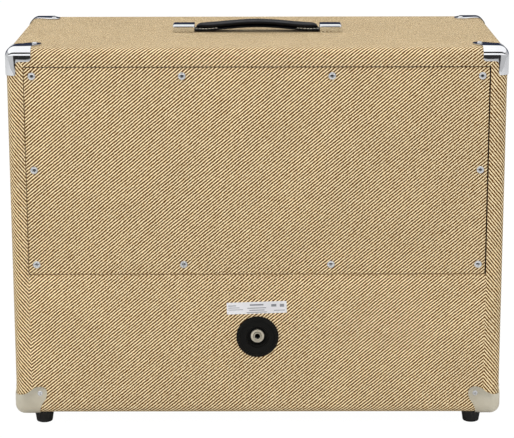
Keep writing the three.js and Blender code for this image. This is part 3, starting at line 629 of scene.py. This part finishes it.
def make_materials():
    tweed_material()
    grille_material()
    birch = (srgb(214, 184, 138), srgb(190, 154, 106))
    wood_material("plywood", *birch, layered=True)
    wood_material("plywood_with_painted_seam_shade", *birch, layered=True, painted_seam_shade=True)
    wood_material("pine", srgb(226, 196, 148), srgb(202, 164, 112))
    leather_material()
    plain_grained("black_board", srgb(26, 26, 27), srgb(38, 37, 36), 0.7, strength=0.3)
    plain_grained("screw_chrome", srgb(226, 228, 230), srgb(205, 206, 208), 0.14, 0.05, 1.0, strength=0.03)
    plain_grained("chrome_plate", srgb(232, 234, 236), srgb(222, 223, 226), 0.07, 0.03, 1.0, strength=0.02)
    plain_grained("satin_nickel", srgb(224, 218, 200), srgb(210, 203, 184), 0.36, 0.05, 1.0, fine=2400.0,
                  strength=0.25)
    plain_grained("zinc_steel", srgb(196, 198, 200), srgb(168, 170, 172), 0.34, 0.1, 1.0)
    plain_grained("foot_rubber", srgb(15, 15, 15), srgb(24, 24, 23), 0.8, strength=0.3, depth=0.2 * MM)
    plain_grained("black_plastic", srgb(11, 11, 10), srgb(17, 17, 15), 0.46, 0.08, fine=1600.0, strength=0.2,
                  Specular_IOR_Level=0.12)
    plain_grained("spring_bronze", srgb(196, 140, 82), srgb(170, 112, 60), 0.3, 0.08, 1.0)
    plain_grained("basket_paint", srgb(24, 24, 25), srgb(36, 36, 38), 0.5, metallic=0.1, strength=0.3)
    ribbed_material("cone_paper", srgb(40, 36, 32), srgb(64, 58, 52), 0.9, 7 * MM)
    plain_grained("ferrite", srgb(42, 42, 45), srgb(58, 58, 60), 0.7, 0.1)
    plain_grained("wire_sleeve", srgb(150, 30, 24), srgb(120, 22, 18), 0.45, 0.08)
    plain_grained("label_film", srgb(228, 227, 230), srgb(218, 217, 220), 0.4, 0.05, strength=0.05)
    plain_grained("label_ink", srgb(150, 152, 156), srgb(128, 130, 134), 0.5, 0.05, strength=0.05)
    plain_grained("waxed_thread", srgb(206, 202, 188), srgb(176, 170, 152), 0.6, 0.1, strength=0.3)


make_materials()

# The upper rear panel's plywood carries a dark band of painted shade round its rim, under the seams.
FINISHED_APART = {"rear_panel_upper": "plywood_with_painted_seam_shade", "jack_nut": "satin_nickel"}


def give(piece, material):
    piece.data.materials.clear()
    piece.data.materials.append(MATERIALS[material])


def finish_frame_nodes():
    """Every node of the frame takes its slot's material, but for the ones finished apart."""
    for part in frame["record"]["subparts"]:
        node = part["node"]
        give(frame["nodes"][node], FINISHED_APART.get(node, part["material_slot"]))


def settle(piece, material, degrees=None, nodes=()):
    """Shades a piece smooth by angle if asked, gives it its material and hides the frame nodes that it stands
    for. It stays on the box.
    """
    if degrees:
        smooth(piece, degrees)
    give(piece, material)
    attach(piece, "root")
    if nodes:
        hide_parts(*nodes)


# ---- The way the covering was laid: weave coordinates in metres ----

def round_edge(inward, outward):
    """Length along the cloth round an edge. inward is from the face that the cloth turns onto, outward is
    how far past the start of the rounding the point lies on the face that it comes from."""
    if outward <= 0:
        return outward
    if inward < EDGE_RADIUS:
        return EDGE_RADIUS * math.atan2(outward, EDGE_RADIUS - inward)
    return EDGE_CLOTH + inward - EDGE_RADIUS


def sleeve_weave(point, centre):
    """The sleeve is one strip, wrapped round the box over the left side, the top and the right side."""
    from_side = SIDE - abs(centre.x)
    from_top = TOP - centre.z
    from_base = centre.z - BASE
    nearest = min(from_side, from_top, from_base)
    height = TOP - BASE
    width = 2 * SIDE
    if nearest == from_top:
        along = height + SIDE - point.x
        inward = TOP - point.z
    elif nearest == from_base:
        along = 2 * height + width + SIDE + point.x
        inward = point.z - BASE
    elif centre.x > 0:
        along = point.z - BASE
        inward = SIDE - point.x
    else:
        along = height + width + TOP - point.z
        inward = SIDE + point.x
    if centre.y > 0:
        across = REAR - EDGE_RADIUS + round_edge(inward, point.y - REAR + EDGE_RADIUS)
    else:
        across = FRONT + EDGE_RADIUS - round_edge(inward, FRONT + EDGE_RADIUS - point.y)
    return along, across


def panel_weave(point, _):
    """A rear panel's cloth is laid flat, and turned round the lower edge."""
    if point.z > BASE + EDGE_RADIUS:
        return -point.x, -point.z
    turn = round_edge(REAR - point.y, BASE + EDGE_RADIUS - point.z)
    return -point.x, -(BASE + EDGE_RADIUS) + turn


def front_weave(point, _):
    return point.x, point.z


def lay_cloth(piece, material, weave, node):
    """Gives a cloth its weave map and settles it. weave takes a point and the centre of its face."""
    layer = piece.data.uv_layers.new(name="weave")
    for face in piece.data.polygons:
        for corner in face.loop_indices:
            vertex = piece.data.vertices[piece.data.loops[corner].vertex_index]
            layer.data[corner].uv = weave(vertex.co, face.center)
    settle(piece, material, 40, [node])


# ---- Covering ----

def tweed_sleeve():
    """The box's own covering, open at the rear for the panels' covers and at the front for the grille."""
    mouth_x = SIDE - SIDE_BORDER
    mouth_top = TOP - TOP_BORDER
    opening_x = SIDE - FRONT_BORDER
    opening_low = BASE + FRONT_BORDER
    opening_high = TOP - FRONT_BORDER
    low = (-SIDE, FRONT, BASE)
    high = (SIDE, REAR, TOP)
    piece = rounded_block("tweed_sleeve", low, high, EDGE_RADIUS, EDGE_STEPS)

    def slice_at(places_x, places_z):
        for x in places_x:
            slice_mesh(piece, (x, 0, 0), AXES["X"])
        for z in places_z:
            slice_mesh(piece, (0, 0, z), AXES["Z"])

    def in_mouth(face):
        centre = face.calc_center_median()
        inside = abs(centre.x) < mouth_x and centre.z < mouth_top
        return inside and centre.y > REAR - EDGE_RADIUS + NEAR

    def in_opening(face):
        centre = face.calc_center_median()
        inside = abs(centre.x) < opening_x and opening_low < centre.z < opening_high
        return inside and centre.y < FRONT + NEAR

    slice_at((-mouth_x, mouth_x), (mouth_top,))
    delete_faces(piece, in_mouth)
    slice_at((-opening_x, opening_x), (opening_low, opening_high))
    delete_faces(piece, in_opening)
    begin_edit(piece)
    pick(piece, "EDGE", lambda edge: edge.is_boundary and middle_of(edge).y < FRONT + NEAR)
    bpy.ops.mesh.extrude_edges_move(TRANSFORM_OT_translate={"value": (0, FRONT_RETURN, 0)})
    end_edit()
    for mitre_z, level in ((TOP, 1), (BASE, -1)):
        for side in (1, -1):
            slice_mesh(piece, (side * SIDE, 0, mitre_z), (side, 0, -level))
    modify(piece, "SOLIDIFY", thickness=COVER, offset=-1)
    lay_cloth(piece, "tweed", sleeve_weave, "cover_sleeve")


def tweed_rear_upper():
    low = (UPPER_LOW[0] + SEAM_WIDE, UPPER_FACE - COVER, UPPER_LOW[2] + SEAM_BELOW)
    high = (UPPER_HIGH[0] - SEAM_NARROW, UPPER_FACE, UPPER_HIGH[2] - SEAM_ABOVE)
    piece = block("tweed_rear_upper", low, high)
    bevel_edges(piece, lambda edge: middle_of(edge).y > UPPER_FACE - NEAR, 0.85 * COVER, 4)
    lay_cloth(piece, "tweed", panel_weave, "cover_rear_upper")


def tweed_rear_lower():
    side = SIDE - SIDE_BORDER
    depth = EDGE_RADIUS + 2 * MM
    top = LOWER_TOP - SEAM_BELOW
    top_round = 0.9 * MM
    hole_radius = 14.8 * MM
    piece = block("tweed_rear_lower", (-side, REAR - depth, BASE), (side, REAR, top))

    def at_rear(edge):
        return middle_of(edge).y > REAR - NEAR

    def to_be_left_out(face):
        return abs(face.normal.x) > ALONG or face.normal.y < -ALONG or face.normal.z > ALONG

    def at_base(edge):
        return at_rear(edge) and middle_of(edge).z < BASE + NEAR

    bevel_edges(piece, at_base, EDGE_RADIUS, EDGE_STEPS)
    delete_faces(piece, to_be_left_out)
    slice_mesh(piece, (0, REAR - EDGE_RADIUS, 0), (0, -1, 0), clear_outer=True)
    modify(piece, "SOLIDIFY", thickness=COVER, offset=-1)
    bevel_edges(piece, lambda edge: at_rear(edge) and middle_of(edge).z > top - NEAR, top_round, 3)
    hole = rod("dish_hole", (0, REAR, JACK_Z), hole_radius, 2 * EDGE_RADIUS, "Y", 40)
    combine(piece, hole, "DIFFERENCE")
    lay_cloth(piece, "tweed", panel_weave, "cover_rear_lower")


def grille_sheet():
    piece = block("grille_sheet", CLOTH_LOW, CLOTH_HIGH)
    delete_faces(piece, lambda face: face.normal.y > ALONG)
    bevel_edges(piece, lambda edge: not edge.is_boundary, 1.5 * MM, 3)
    modify(piece, "SOLIDIFY", thickness=0.8 * MM, offset=-1)
    lay_cloth(piece, "grille_fabric", front_weave, "grille_cloth")


# ---- Metal corners ----

def corner_shell(name):
    """The round-edged sheet that lies over the covered box, to be cut to a corner's outline."""
    def grown(layer, by):
        low = (-SIDE - by, FRONT - by, BASE - by)
        high = (SIDE + by, REAR + by, TOP + by)
        return rounded_block(name + layer, low, high, EDGE_RADIUS + by, CORNER_STEPS)

    shell = grown("", CORNER_PROUD)
    combine(shell, grown("_inside", CORNER_GAP), "DIFFERENCE")
    return shell


OUTSIDE = -5 * MM  # outlines start this far outside the box
FACE_DEPTH = 15 * MM


def face_plate(name, outline, signs, edges, plane, start):
    """A plate on one face of the box. The outline is measured inwards from two of the face's edges."""
    places = [
        (signs[0] * (edges[0] - a), signs[1] * (edges[1] - b), rounding) for a, b, rounding in outline
    ]
    return plate_outline(name, places, plane, start, FACE_DEPTH)


def eared_outline(leg, drop, ear_in, ear_down):
    """A plate that ends in a rounded ear at its inner corner."""
    reach = 8 * MM  # of the ear past its centre
    neck = 5 * MM
    waist = 18 * MM  # the plate starts to narrow this far before the ear's centre
    waist_round = 6 * MM
    tip_round = 7.5 * MM
    return [
        (OUTSIDE, OUTSIDE, 0),
        (leg, OUTSIDE, 0),
        (leg, ear_down - waist, waist_round),
        (ear_in + reach, ear_down - neck, neck),
        (ear_in + reach, ear_down + reach, tip_round),
        (ear_in - neck, ear_down + reach, neck),
        (ear_in - waist, drop, waist_round),
        (OUTSIDE, drop, 0),
    ]


def lip_outline(leg, lip, arm, drop):
    """An L that runs along both edges of a face."""
    inner_round = 3.5 * MM
    end_round = 3 * MM
    return [
        (OUTSIDE, OUTSIDE, 0),
        (leg, OUTSIDE, 0),
        (leg, lip, inner_round),
        (arm, lip, inner_round),
        (arm, drop, end_round),
        (OUTSIDE, drop, 0),
    ]


def top_corner():
    piece = corner_shell("top_corner")
    lips = lip_outline(CORNER_LEG, TOP_LIP, SIDE_LIP, CORNER_DROP)
    ear = eared_outline(CORNER_LEG, CORNER_DROP, EAR_AT, EAR_AT)
    flat_ear = eared_outline(CORNER_LEG, CORNER_LEG, EAR_AT, EAR_AT)
    rear = face_plate("rear_lip", lips, (1, 1), (SIDE, TOP), "XZY", REAR - EDGE_RADIUS)
    side = face_plate("side_plate", ear, (1, 1), (REAR, TOP), "YZX", SIDE - EDGE_RADIUS)
    top = face_plate("top_plate", flat_ear, (1, 1), (SIDE, REAR), "XYZ", TOP - EDGE_RADIUS)
    combine(rear, side, "UNION")
    combine(rear, top, "UNION")
    combine(piece, rear, "INTERSECT")
    return piece


def bottom_corner():
    piece = corner_shell("bottom_corner")
    ear = eared_outline(BOTTOM_LEG, BOTTOM_HEIGHT, BOTTOM_EAR_IN, BOTTOM_EAR_UP)
    rear = face_plate("rear_plate", ear, (1, -1), (SIDE, -BASE), "XZY", REAR - BASE_LIP)
    side = face_plate("side_plate", ear, (1, -1), (REAR, -BASE), "YZX", SIDE - BASE_LIP)
    combine(rear, side, "UNION")
    combine(piece, rear, "INTERSECT")
    return piece


SIDES = (("left", 1), ("right", -1))
CORNERS = (("rear_left", 1, 1), ("front_left", 1, -1), ("rear_right", -1, 1), ("front_right", -1, -1))


def metal_corners():
    for kind, maker, material in (
        ("top_corner", top_corner, "chrome_plate"),
        ("bottom_corner", bottom_corner, "satin_nickel"),
    ):
        model = maker()
        tidy(model, NEAR)
        ease_edges(model, 0.3 * MM, 2, 50)
        for place, side, end in CORNERS:
            piece = copy_of(model, "metal_" + kind + "_" + place)
            turn_mesh(piece, Matrix.Diagonal((side, end, 1, 1)))
            settle(piece, material, 30, [kind + "_" + place])
        bpy.data.objects.remove(model)


# ---- Screws ----

def cross_recess(radius, depth):
    """The tool that cuts a cross recess: two blades that narrow towards the bottom."""
    blade = 0.2 * radius
    length = 1.05 * radius
    narrowing = 0.62
    tools = []
    for across, along in ((blade, length), (length, blade)):
        tool = block("blade", (-across / 2, -along / 2, -depth), (across / 2, along / 2, depth))
        begin_edit(tool)
        pick(tool, "FACE", lambda face: face.normal.z < -ALONG)
        bpy.ops.transform.resize(value=(narrowing, narrowing, 1), center_override=(0, 0, 0))
        end_edit()
        tools.append(tool)
    combine(tools[0], tools[1], "UNION")
    return tools[0]


def screw_head(name, radius, rise):
    """A raised head, its face towards +Z and its seat at the origin. The dome is in shares of its size."""
    dome = [
        (0, 0), (0.97, 0), (1, 0.12), (0.985, 0.3), (0.9, 0.56),
        (0.72, 0.8), (0.45, 0.95), (0.2, 0.99), (0, 1),
    ]
    head = turned(name, [(radius * out, rise * up) for out, up in dome], (0, 0, 0), "Z", 32)
    recess = cross_recess(radius, rise * 0.8)
    recess.data.transform(Matrix.Translation((0, 0, rise)))
    combine(head, recess, "DIFFERENCE")
    ease_edges(head, 0.08 * MM, 1, 60)
    return head


FACING = {
    "+Y": Matrix.Rotation(-QUARTER, 4, "X"),
    "-Y": Matrix.Rotation(QUARTER, 4, "X"),
    "+X": Matrix.Rotation(QUARTER, 4, "Y"),
    "-X": Matrix.Rotation(-QUARTER, 4, "Y"),
    "+Z": Matrix.Identity(4),
}


def place_screw(model, name, place, facing, turn, nodes=()):
    piece = copy_of(model, name)
    piece.data.transform(Matrix.Translation(place) @ FACING[facing] @ Matrix.Rotation(turn, 4, "Z"))
    settle(piece, "screw_chrome", 35, nodes)


def panel_screws():
    """The heads stand where the frame's screws do. Each stopped at a turn of its own."""
    model = screw_head("panel_screw", PANEL_HEAD, PANEL_HEAD_RISE)
    first_turn = 0.3
    turn_step = 2.4
    for number in range(1, 11):
        node = f"panel_screw_{number:02d}"
        low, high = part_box(node)
        place = ((low[0] + high[0]) / 2, UPPER_FACE, (low[2] + high[2]) / 2)
        turn = number * turn_step + first_turn
        place_screw(model, f"rear_screw_{number:02d}", place, "+Y", turn, [node])
    bpy.data.objects.remove(model)


def corner_screws():
    model = screw_head("corner_screw", CORNER_HEAD, CORNER_HEAD_RISE)
    turn = 0.4
    turn_step = 1.7
    for corner, side, end in CORNERS:
        facing_side = "+X" if side > 0 else "-X"
        facing_end = "+Y" if end > 0 else "-Y"
        x = side * (SIDE - EAR_AT)
        y = end * (REAR - EAR_AT)
        outer_x = side * (SIDE + CORNER_PROUD)
        outer_y = end * (REAR + CORNER_PROUD)
        low_x = side * (SIDE - BOTTOM_EAR_IN)
        low_y = end * (REAR - BOTTOM_EAR_IN)
        low_z = BASE + BOTTOM_EAR_UP
        for kind, place, facing in (
            ("top", (x, y, TOP + CORNER_PROUD), "+Z"),
            ("side", (outer_x, y, TOP - EAR_AT), facing_side),
            ("low", (low_x, outer_y, low_z), facing_end),
            ("low_side", (outer_x, low_y, low_z), facing_side),
        ):
            turn += turn_step
            place_screw(model, f"corner_screw_{kind}_{corner}", place, facing, turn)
    bpy.data.objects.remove(model)


# ---- Handle ----

def strap_lift(x):
    """Height of the strap's underside above the box."""
    share = min(1, abs(x) / CAP_INNER)
    return END_LIFT + (STRAP_LIFT - END_LIFT) * (1 + math.cos(math.pi * share)) / 2


def handle_cap(side_word, side):
    """A metal cap, open below and towards the grip."""
    low = Vector(CAP_LOW)
    high = Vector(CAP_HIGH)
    low.z = TOP + 0.15 * MM
    piece = block("chrome_cap_" + side_word, low, high)

    def rounded(edge):
        middle = middle_of(edge)
        upright = abs(edge.verts[0].co.z - edge.verts[1].co.z) > NEAR
        on_top = abs(middle.z - high.z) < NEAR and middle.x > low.x + NEAR
        return on_top or (upright and middle.x > high.x - NEAR)

    bevel_edges(piece, rounded, 2.6 * MM, 6)
    delete_faces(piece, lambda face: face.normal.z < -ALONG or face.normal.x < -ALONG)
    modify(piece, "SOLIDIFY", thickness=1.0 * MM, offset=-1)
    ease_edges(piece, 0.25 * MM, 2, 50)
    to_side(piece, side)
    settle(piece, "chrome_plate", 30, ["handle_cap_" + side_word])


def flex(piece, side, degrees, material="handle_leather", nodes=()):
    """Finishes a part of half the strap, which runs into the cap: mirrors it to its side, shades it smooth,
    gives it its material and hides the nodes it stands for.
    """
    to_side(piece, side)
    smooth(piece, degrees)
    give(piece, material)
    if nodes:
        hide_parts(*nodes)
    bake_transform(piece)


def long_tube(name, length, sides, rings):
    """A closed tube along X from the middle of the handle, cut into rings."""
    piece = rod(name, (length / 2, 0, 0), 1.0, length, "X", sides)
    begin_edit(piece)
    pick(piece, "EDGE", lambda edge: abs(edge.verts[0].co.x - edge.verts[1].co.x) > length / 2)
    bpy.ops.mesh.subdivide(number_cuts=rings)
    end_edit()
    return piece


def oval(vertex, squareness):
    """Where a tube's vertex goes on a unit outline between a circle (1) and a rounded bar (small)."""
    angle = math.atan2(vertex.co.z, vertex.co.y)
    across = math.cos(angle)
    up = math.sin(angle)
    return math.copysign(abs(across) ** squareness, across), math.copysign(abs(up) ** squareness, up)


def strap_band(side_word, side):
    """The flat leather band, from the middle of the grip to inside the cap."""
    end = CAP_HIGH[0] - 4 * MM
    piece = long_tube("strap_band_" + side_word, end, 20, 46)
    for vertex in piece.data.vertices:
        x = vertex.co.x
        across, up = oval(vertex, 0.45)
        narrowing = min(1, max(0, (x - GRIP_HALF) / (CAP_INNER - GRIP_HALF)))
        half_width = BAND_HALF - narrowing * (BAND_HALF - BAND_END_HALF)
        vertex.co = (x, across * half_width, TOP + strap_lift(x) + BAND / 2 * (1 + up))
    flex(piece, side, 50, nodes=["handle_strap_end_" + side_word])


def roll_shape(x):
    """Half width and thickness of the padded roll at a distance from the middle."""
    left = max(0, ROLL_END - x)
    fullness = math.sin(min(1, left / ROLL_TAPER) * QUARTER) ** 0.6
    spread = math.sin(min(1, left / POINT_LENGTH) * QUARTER) ** 0.9
    half_width = ROLL_POINT_HALF + (ROLL_HALF - ROLL_POINT_HALF) * spread
    return half_width, ROLL_LIP + (ROLL - ROLL_LIP) * fullness


def strap_roll(side_word, side):
    """The padded roll sewn onto the band. It narrows to a point before the cap."""
    piece = long_tube("strap_roll_" + side_word, ROLL_END, 28, 52)
    sunk = 0.1 * MM
    belly = 0.62  # the roll is widest at this share of its thickness
    for vertex in piece.data.vertices:
        x = vertex.co.x
        half_width, thickness = roll_shape(x)
        across, up = oval(vertex, 0.75)
        height = thickness * (belly + (1 - belly if up > 0 else belly) * up)
        vertex.co = (x, across * half_width, TOP + strap_lift(x) + BAND - sunk + height)
    flex(piece, side, 50, nodes=["handle_strap"])


def strap_stitches(side_word, side):
    """Pale thread along both edges of the band, where the roll narrows to its point before the cap."""
    size = Vector((1.4, 0.5, 0.4)) * MM
    spacing = 3.9 * MM
    furthest = 11.0 * MM
    model = rounded_block("stitch", -size, size, 0.35 * MM, 2)
    stitches = []
    for edge in (-1, 1):
        for i in range(7):
            x = ROLL_END - 1 * MM - i * spacing
            across = edge * min(roll_shape(x)[0] + 0.4 * MM, furthest)
            height = TOP + strap_lift(x) + BAND + 0.1 * MM
            stitches.append(copy_of(model, "stitch_copy", (x, across, height)))
    bpy.data.objects.remove(model)
    piece = join_all("strap_stitches_" + side_word, stitches)
    flex(piece, side, 40, "waxed_thread")


def handle():
    for side_word, side in SIDES:
        for make in (handle_cap, strap_band, strap_roll, strap_stitches):
            make(side_word, side)


# ---- Feet and jack ----

def rubber_feet():
    """Moulded feet with a screw hole in the sole and a slightly flared top."""
    profile = in_metres([
        (0, 3), (3.2, 3), (3.4, 0.4), (4.2, 0),  # the screw's hole
        (8.2, 0), (9.2, 0.5), (9.6, 1.4),  # the sole
        (10.4, 7), (11.2, 11.4), (11.5, 12.2), (11.5, 14.7), (0, 14.7),
    ])
    for corner, _, _ in CORNERS:
        node = "foot_" + corner
        low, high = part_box(node)
        centre = ((low[0] + high[0]) / 2, (low[1] + high[1]) / 2, 0)
        piece = turned("rubber_" + node, profile, centre, "Z", 40)
        settle(piece, "foot_rubber", 40, [node])


def jack_dish():
    """The round dish: a domed flange with a groove in it, a step, and a flat floor with a hole."""
    rim = DISH_HIGH[0] / MM
    floor_y = (CUP_Y - REAR) / MM
    back_y = floor_y - CUP_FLOOR / MM
    hole = 4.9
    wall = 14.3
    profile = in_metres([
        (wall, 0.3), (rim, 0.3), (rim, 0.9), (rim - 0.4, 1.5), (rim - 1.7, 2.1),
        (20.4, 2.55), (20.1, 2.3), (19.7, 2.3), (19.4, 2.7),  # the groove
        (16, 3.0), (14.2, 3.0), (13.3, 2.7), (12.9, 2.0),
        (12.8, -0.4), (12.4, -1.0), (11.2, -1.3), (10.8, -1.9),  # the step
        (10.7, floor_y), (hole, floor_y), (hole, back_y), (wall, back_y), (wall, 0.3),
    ])
    piece = turned("dish", profile, (0, REAR, JACK_Z), "Y", 72)
    settle(piece, "black_plastic", 35, ["jack_dish"])


def jack_nut():
    """The round nut with its spanner notch, and the rim of the bush in the middle of it."""
    centre = (0, CUP_Y, JACK_Z)
    nut_profile = [(4.7, 0.3), (8, 0.3), (8, 2.6), (7.7, 3), (5.2, 3), (4.7, 2.7), (4.7, 0.3)]
    bush_profile = [(3.2, 3.1), (4.6, 3.1), (4.6, 3.9), (4.3, 4.2), (3.5, 4.2), (3.2, 3.9), (3.2, 3.1)]
    nut = turned("nut", in_metres(nut_profile), centre, "Y", 48)
    notch_low = Vector(centre) + Vector((-1, 1.6, 6.6)) * MM
    notch_high = Vector(centre) + Vector((1, 5, 10)) * MM
    combine(nut, block("notch", notch_low, notch_high), "DIFFERENCE")
    settle(nut, "satin_nickel", 35, ["jack_nut"])
    rim = turned("bush_rim", in_metres(bush_profile), centre, "Y", 40)
    settle(rim, "satin_nickel", 35)


# ---- Label ----

def label():
    """A plain white label with grey bars in place of printing."""
    width = 70 * MM
    height = 14.2 * MM
    film_thickness = 0.15 * MM
    ink_low = 0.12 * MM
    ink_high = 0.2 * MM
    centre = Vector((0.8 * MM, REAR, 145.1 * MM))
    tilt = Matrix.Rotation(math.radians(1.9), 4, "Y")

    def on_panel(name, left, right, low, high, back, face):
        return block(name, centre + Vector((left, back, low)), centre + Vector((right, face, high)))

    film = on_panel("label", -width / 2, width / 2, -height / 2, height / 2, 0, film_thickness)
    bevel_edges(film, lambda edge: abs(edge.verts[0].co.y - edge.verts[1].co.y) > NEAR, 0.8 * MM, 3)
    rows = (  # left, right, low and high of each bar, from the label's centre
        (24, 33, 2.6, 3.6), (20, 33, 0.2, 1.0), (16, 33, -2.2, -1.4),
        (-8, 8, 2.6, 4.4), (-11, 11, -0.8, 0.2), (-9, 9, -3.4, -2.4), (-12, 12, -5.8, -5.0),
        (-23, -17, 0.8, 3.8), (-32, -27, 0.2, 3.8), (-33, -20, -4.2, -3.4),
    )
    bars = [on_panel("bar", *(value * MM for value in row), ink_low, ink_high) for row in rows]
    ink = join_all("label_bars", bars)
    for piece, material in ((film, "label_film"), (ink, "label_ink")):
        piece.data.transform(Matrix.Translation(centre) @ tilt @ Matrix.Translation(-centre))
        settle(piece, material)


# ---- Floor, light and camera ----

def camera_mix(tree, share, lighting, seen, output):
    """The camera sees one shader, or a share of it, while the scene is lit by the other."""
    ray = add_node(tree, "ShaderNodeLightPath").outputs["Is Camera Ray"]
    pairs = [(0, product(tree, ray, share)), (1, lighting.outputs[0]), (2, seen.outputs[0])]
    mixed = add_node(tree, "ShaderNodeMixShader", pairs)
    tree.links.new(mixed.outputs[0], tree.nodes[output].inputs["Surface"])


def floor():
    """A plain floor, white to the eye. What it gives back to the cabinet is duller, as from a grey one."""
    shade = 0.68
    seen_white = 0.95
    deselect()
    bpy.ops.mesh.primitive_plane_add(size=8, location=(0, -3.1, 0))
    piece = new_piece("floor")
    tree, shader = new_material("white_floor", (shade, shade, shade, 1), 0.8)
    white = add_node(tree, "ShaderNodeEmission", [("Color", (1, 1, 1, 1)), ("Strength", 1.04)])
    camera_mix(tree, seen_white, shader, white, "Material Output")
    give(piece, "white_floor")


def soft_light(name, place, target, size, power):
    data = bpy.data.lights.new(name, "AREA")
    data.shape = "RECTANGLE"
    data.size, data.size_y = size
    data.energy = power
    lamp = bpy.data.objects.new(name, data)
    bpy.context.scene.collection.objects.link(lamp)
    lamp.visible_glossy = False
    lamp.location = place
    lamp.rotation_euler = (Vector(target) - Vector(place)).to_track_quat("-Z", "Y").to_euler()


def studio_level(tree, way):
    """How bright the studio is in each direction: soft boxes overhead and behind the camera, with a dark gap
    between them, and dark room low at both ends. Metal shows these as clean bright and dark bands."""
    _, behind, height = axes_of(tree, way)
    climb = calculate(tree, "ARCTAN2", height, behind)

    def band(value, low, high, edge):
        rise = remap(tree, value, low - edge, low + edge, soft=True)
        fall = remap(tree, value, high - edge, high + edge, 1.0, 0.0, soft=True)
        return product(tree, rise, fall)

    plain_wall = 0.62
    box_low = math.radians(14)
    box_high = math.radians(31)
    gap_high = math.radians(50)
    overhead = remap(tree, height, 0.40, 0.46, soft=True)
    facing = band(climb, box_low, box_high, 0.03)
    gap = band(climb, box_high, gap_high, 0.03)
    room_near = product(tree, band(behind, 0.945, 2.0, 0.01), band(height, -2.0, 0.2, 0.03))
    room_far = product(tree, band(behind, -2.0, -0.6, 0.1), band(height, -0.02, 0.38, 0.03))
    level = plain_wall
    boxes = ((overhead, 1.25), (facing, 1.35))
    dark = ((gap, 0.03), (room_near, 0.03), (room_far, 0.07))
    for share, brightness in boxes + dark:
        step = calculate(tree, "SUBTRACT", brightness, level)
        level = calculate(tree, "MULTIPLY_ADD", share, step, level)
    return level, room_far


def studio():
    soft_light("key", place=(0.7, 2.6, 1.7), target=(0, 0.1, 0.25), size=(1.2, 0.8), power=31)
    soft_light("over", place=(0.3, 0.2, 2.2), target=(0, 0, 0.4), size=(1.4, 0.9), power=2)
    soft_light("front", place=(-0.6, -2.6, 1.5), target=(0, 0, 0.25), size=(1.2, 0.8), power=10)
    white = (1, 1, 1, 1)
    far_blue = (0.45, 0.57, 1.0, 1)
    world = bpy.data.worlds.new("studio")
    world.use_nodes = True
    bpy.context.scene.world = world
    tree = world.node_tree
    way = add_node(tree, "ShaderNodeTexCoord").outputs["Generated"]
    level, room_far = studio_level(tree, way)
    color = blend_colors(tree, room_far, white, far_blue)
    studio_light = add_node(tree, "ShaderNodeBackground", [("Color", color), ("Strength", level)])
    backdrop = add_node(tree, "ShaderNodeBackground", [("Color", white), ("Strength", 1.0)])
    camera_mix(tree, 1.0, studio_light, backdrop, "World Output")
    bpy.context.scene.view_settings.view_transform = "Standard"


def camera():
    """Behind the cabinet and above it, looking down at its rear panels."""
    place = (-3.9 * MM, 2.34, 0.7773)
    tilt = 0.2346
    yaw = -0.0019
    roll = -0.0018
    data = bpy.data.cameras.new("camera")
    data.sensor_width = 36
    data.lens = 137.32
    seat = bpy.data.objects.new("camera", data)
    bpy.context.scene.collection.objects.link(seat)
    heading = Matrix.Rotation(math.pi - yaw, 4, "Z")
    pitch = Matrix.Rotation(QUARTER - tilt, 4, "X")
    seat.matrix_world = Matrix.Translation(place) @ heading @ pitch @ Matrix.Rotation(roll, 4, "Z")
    bpy.context.scene.camera = seat


camera()
studio()
floor()
finish_frame_nodes()
tweed_sleeve()
tweed_rear_upper()
tweed_rear_lower()
grille_sheet()
metal_corners()
panel_screws()
corner_screws()
handle()
rubber_feet()
jack_dish()
jack_nut()
label()
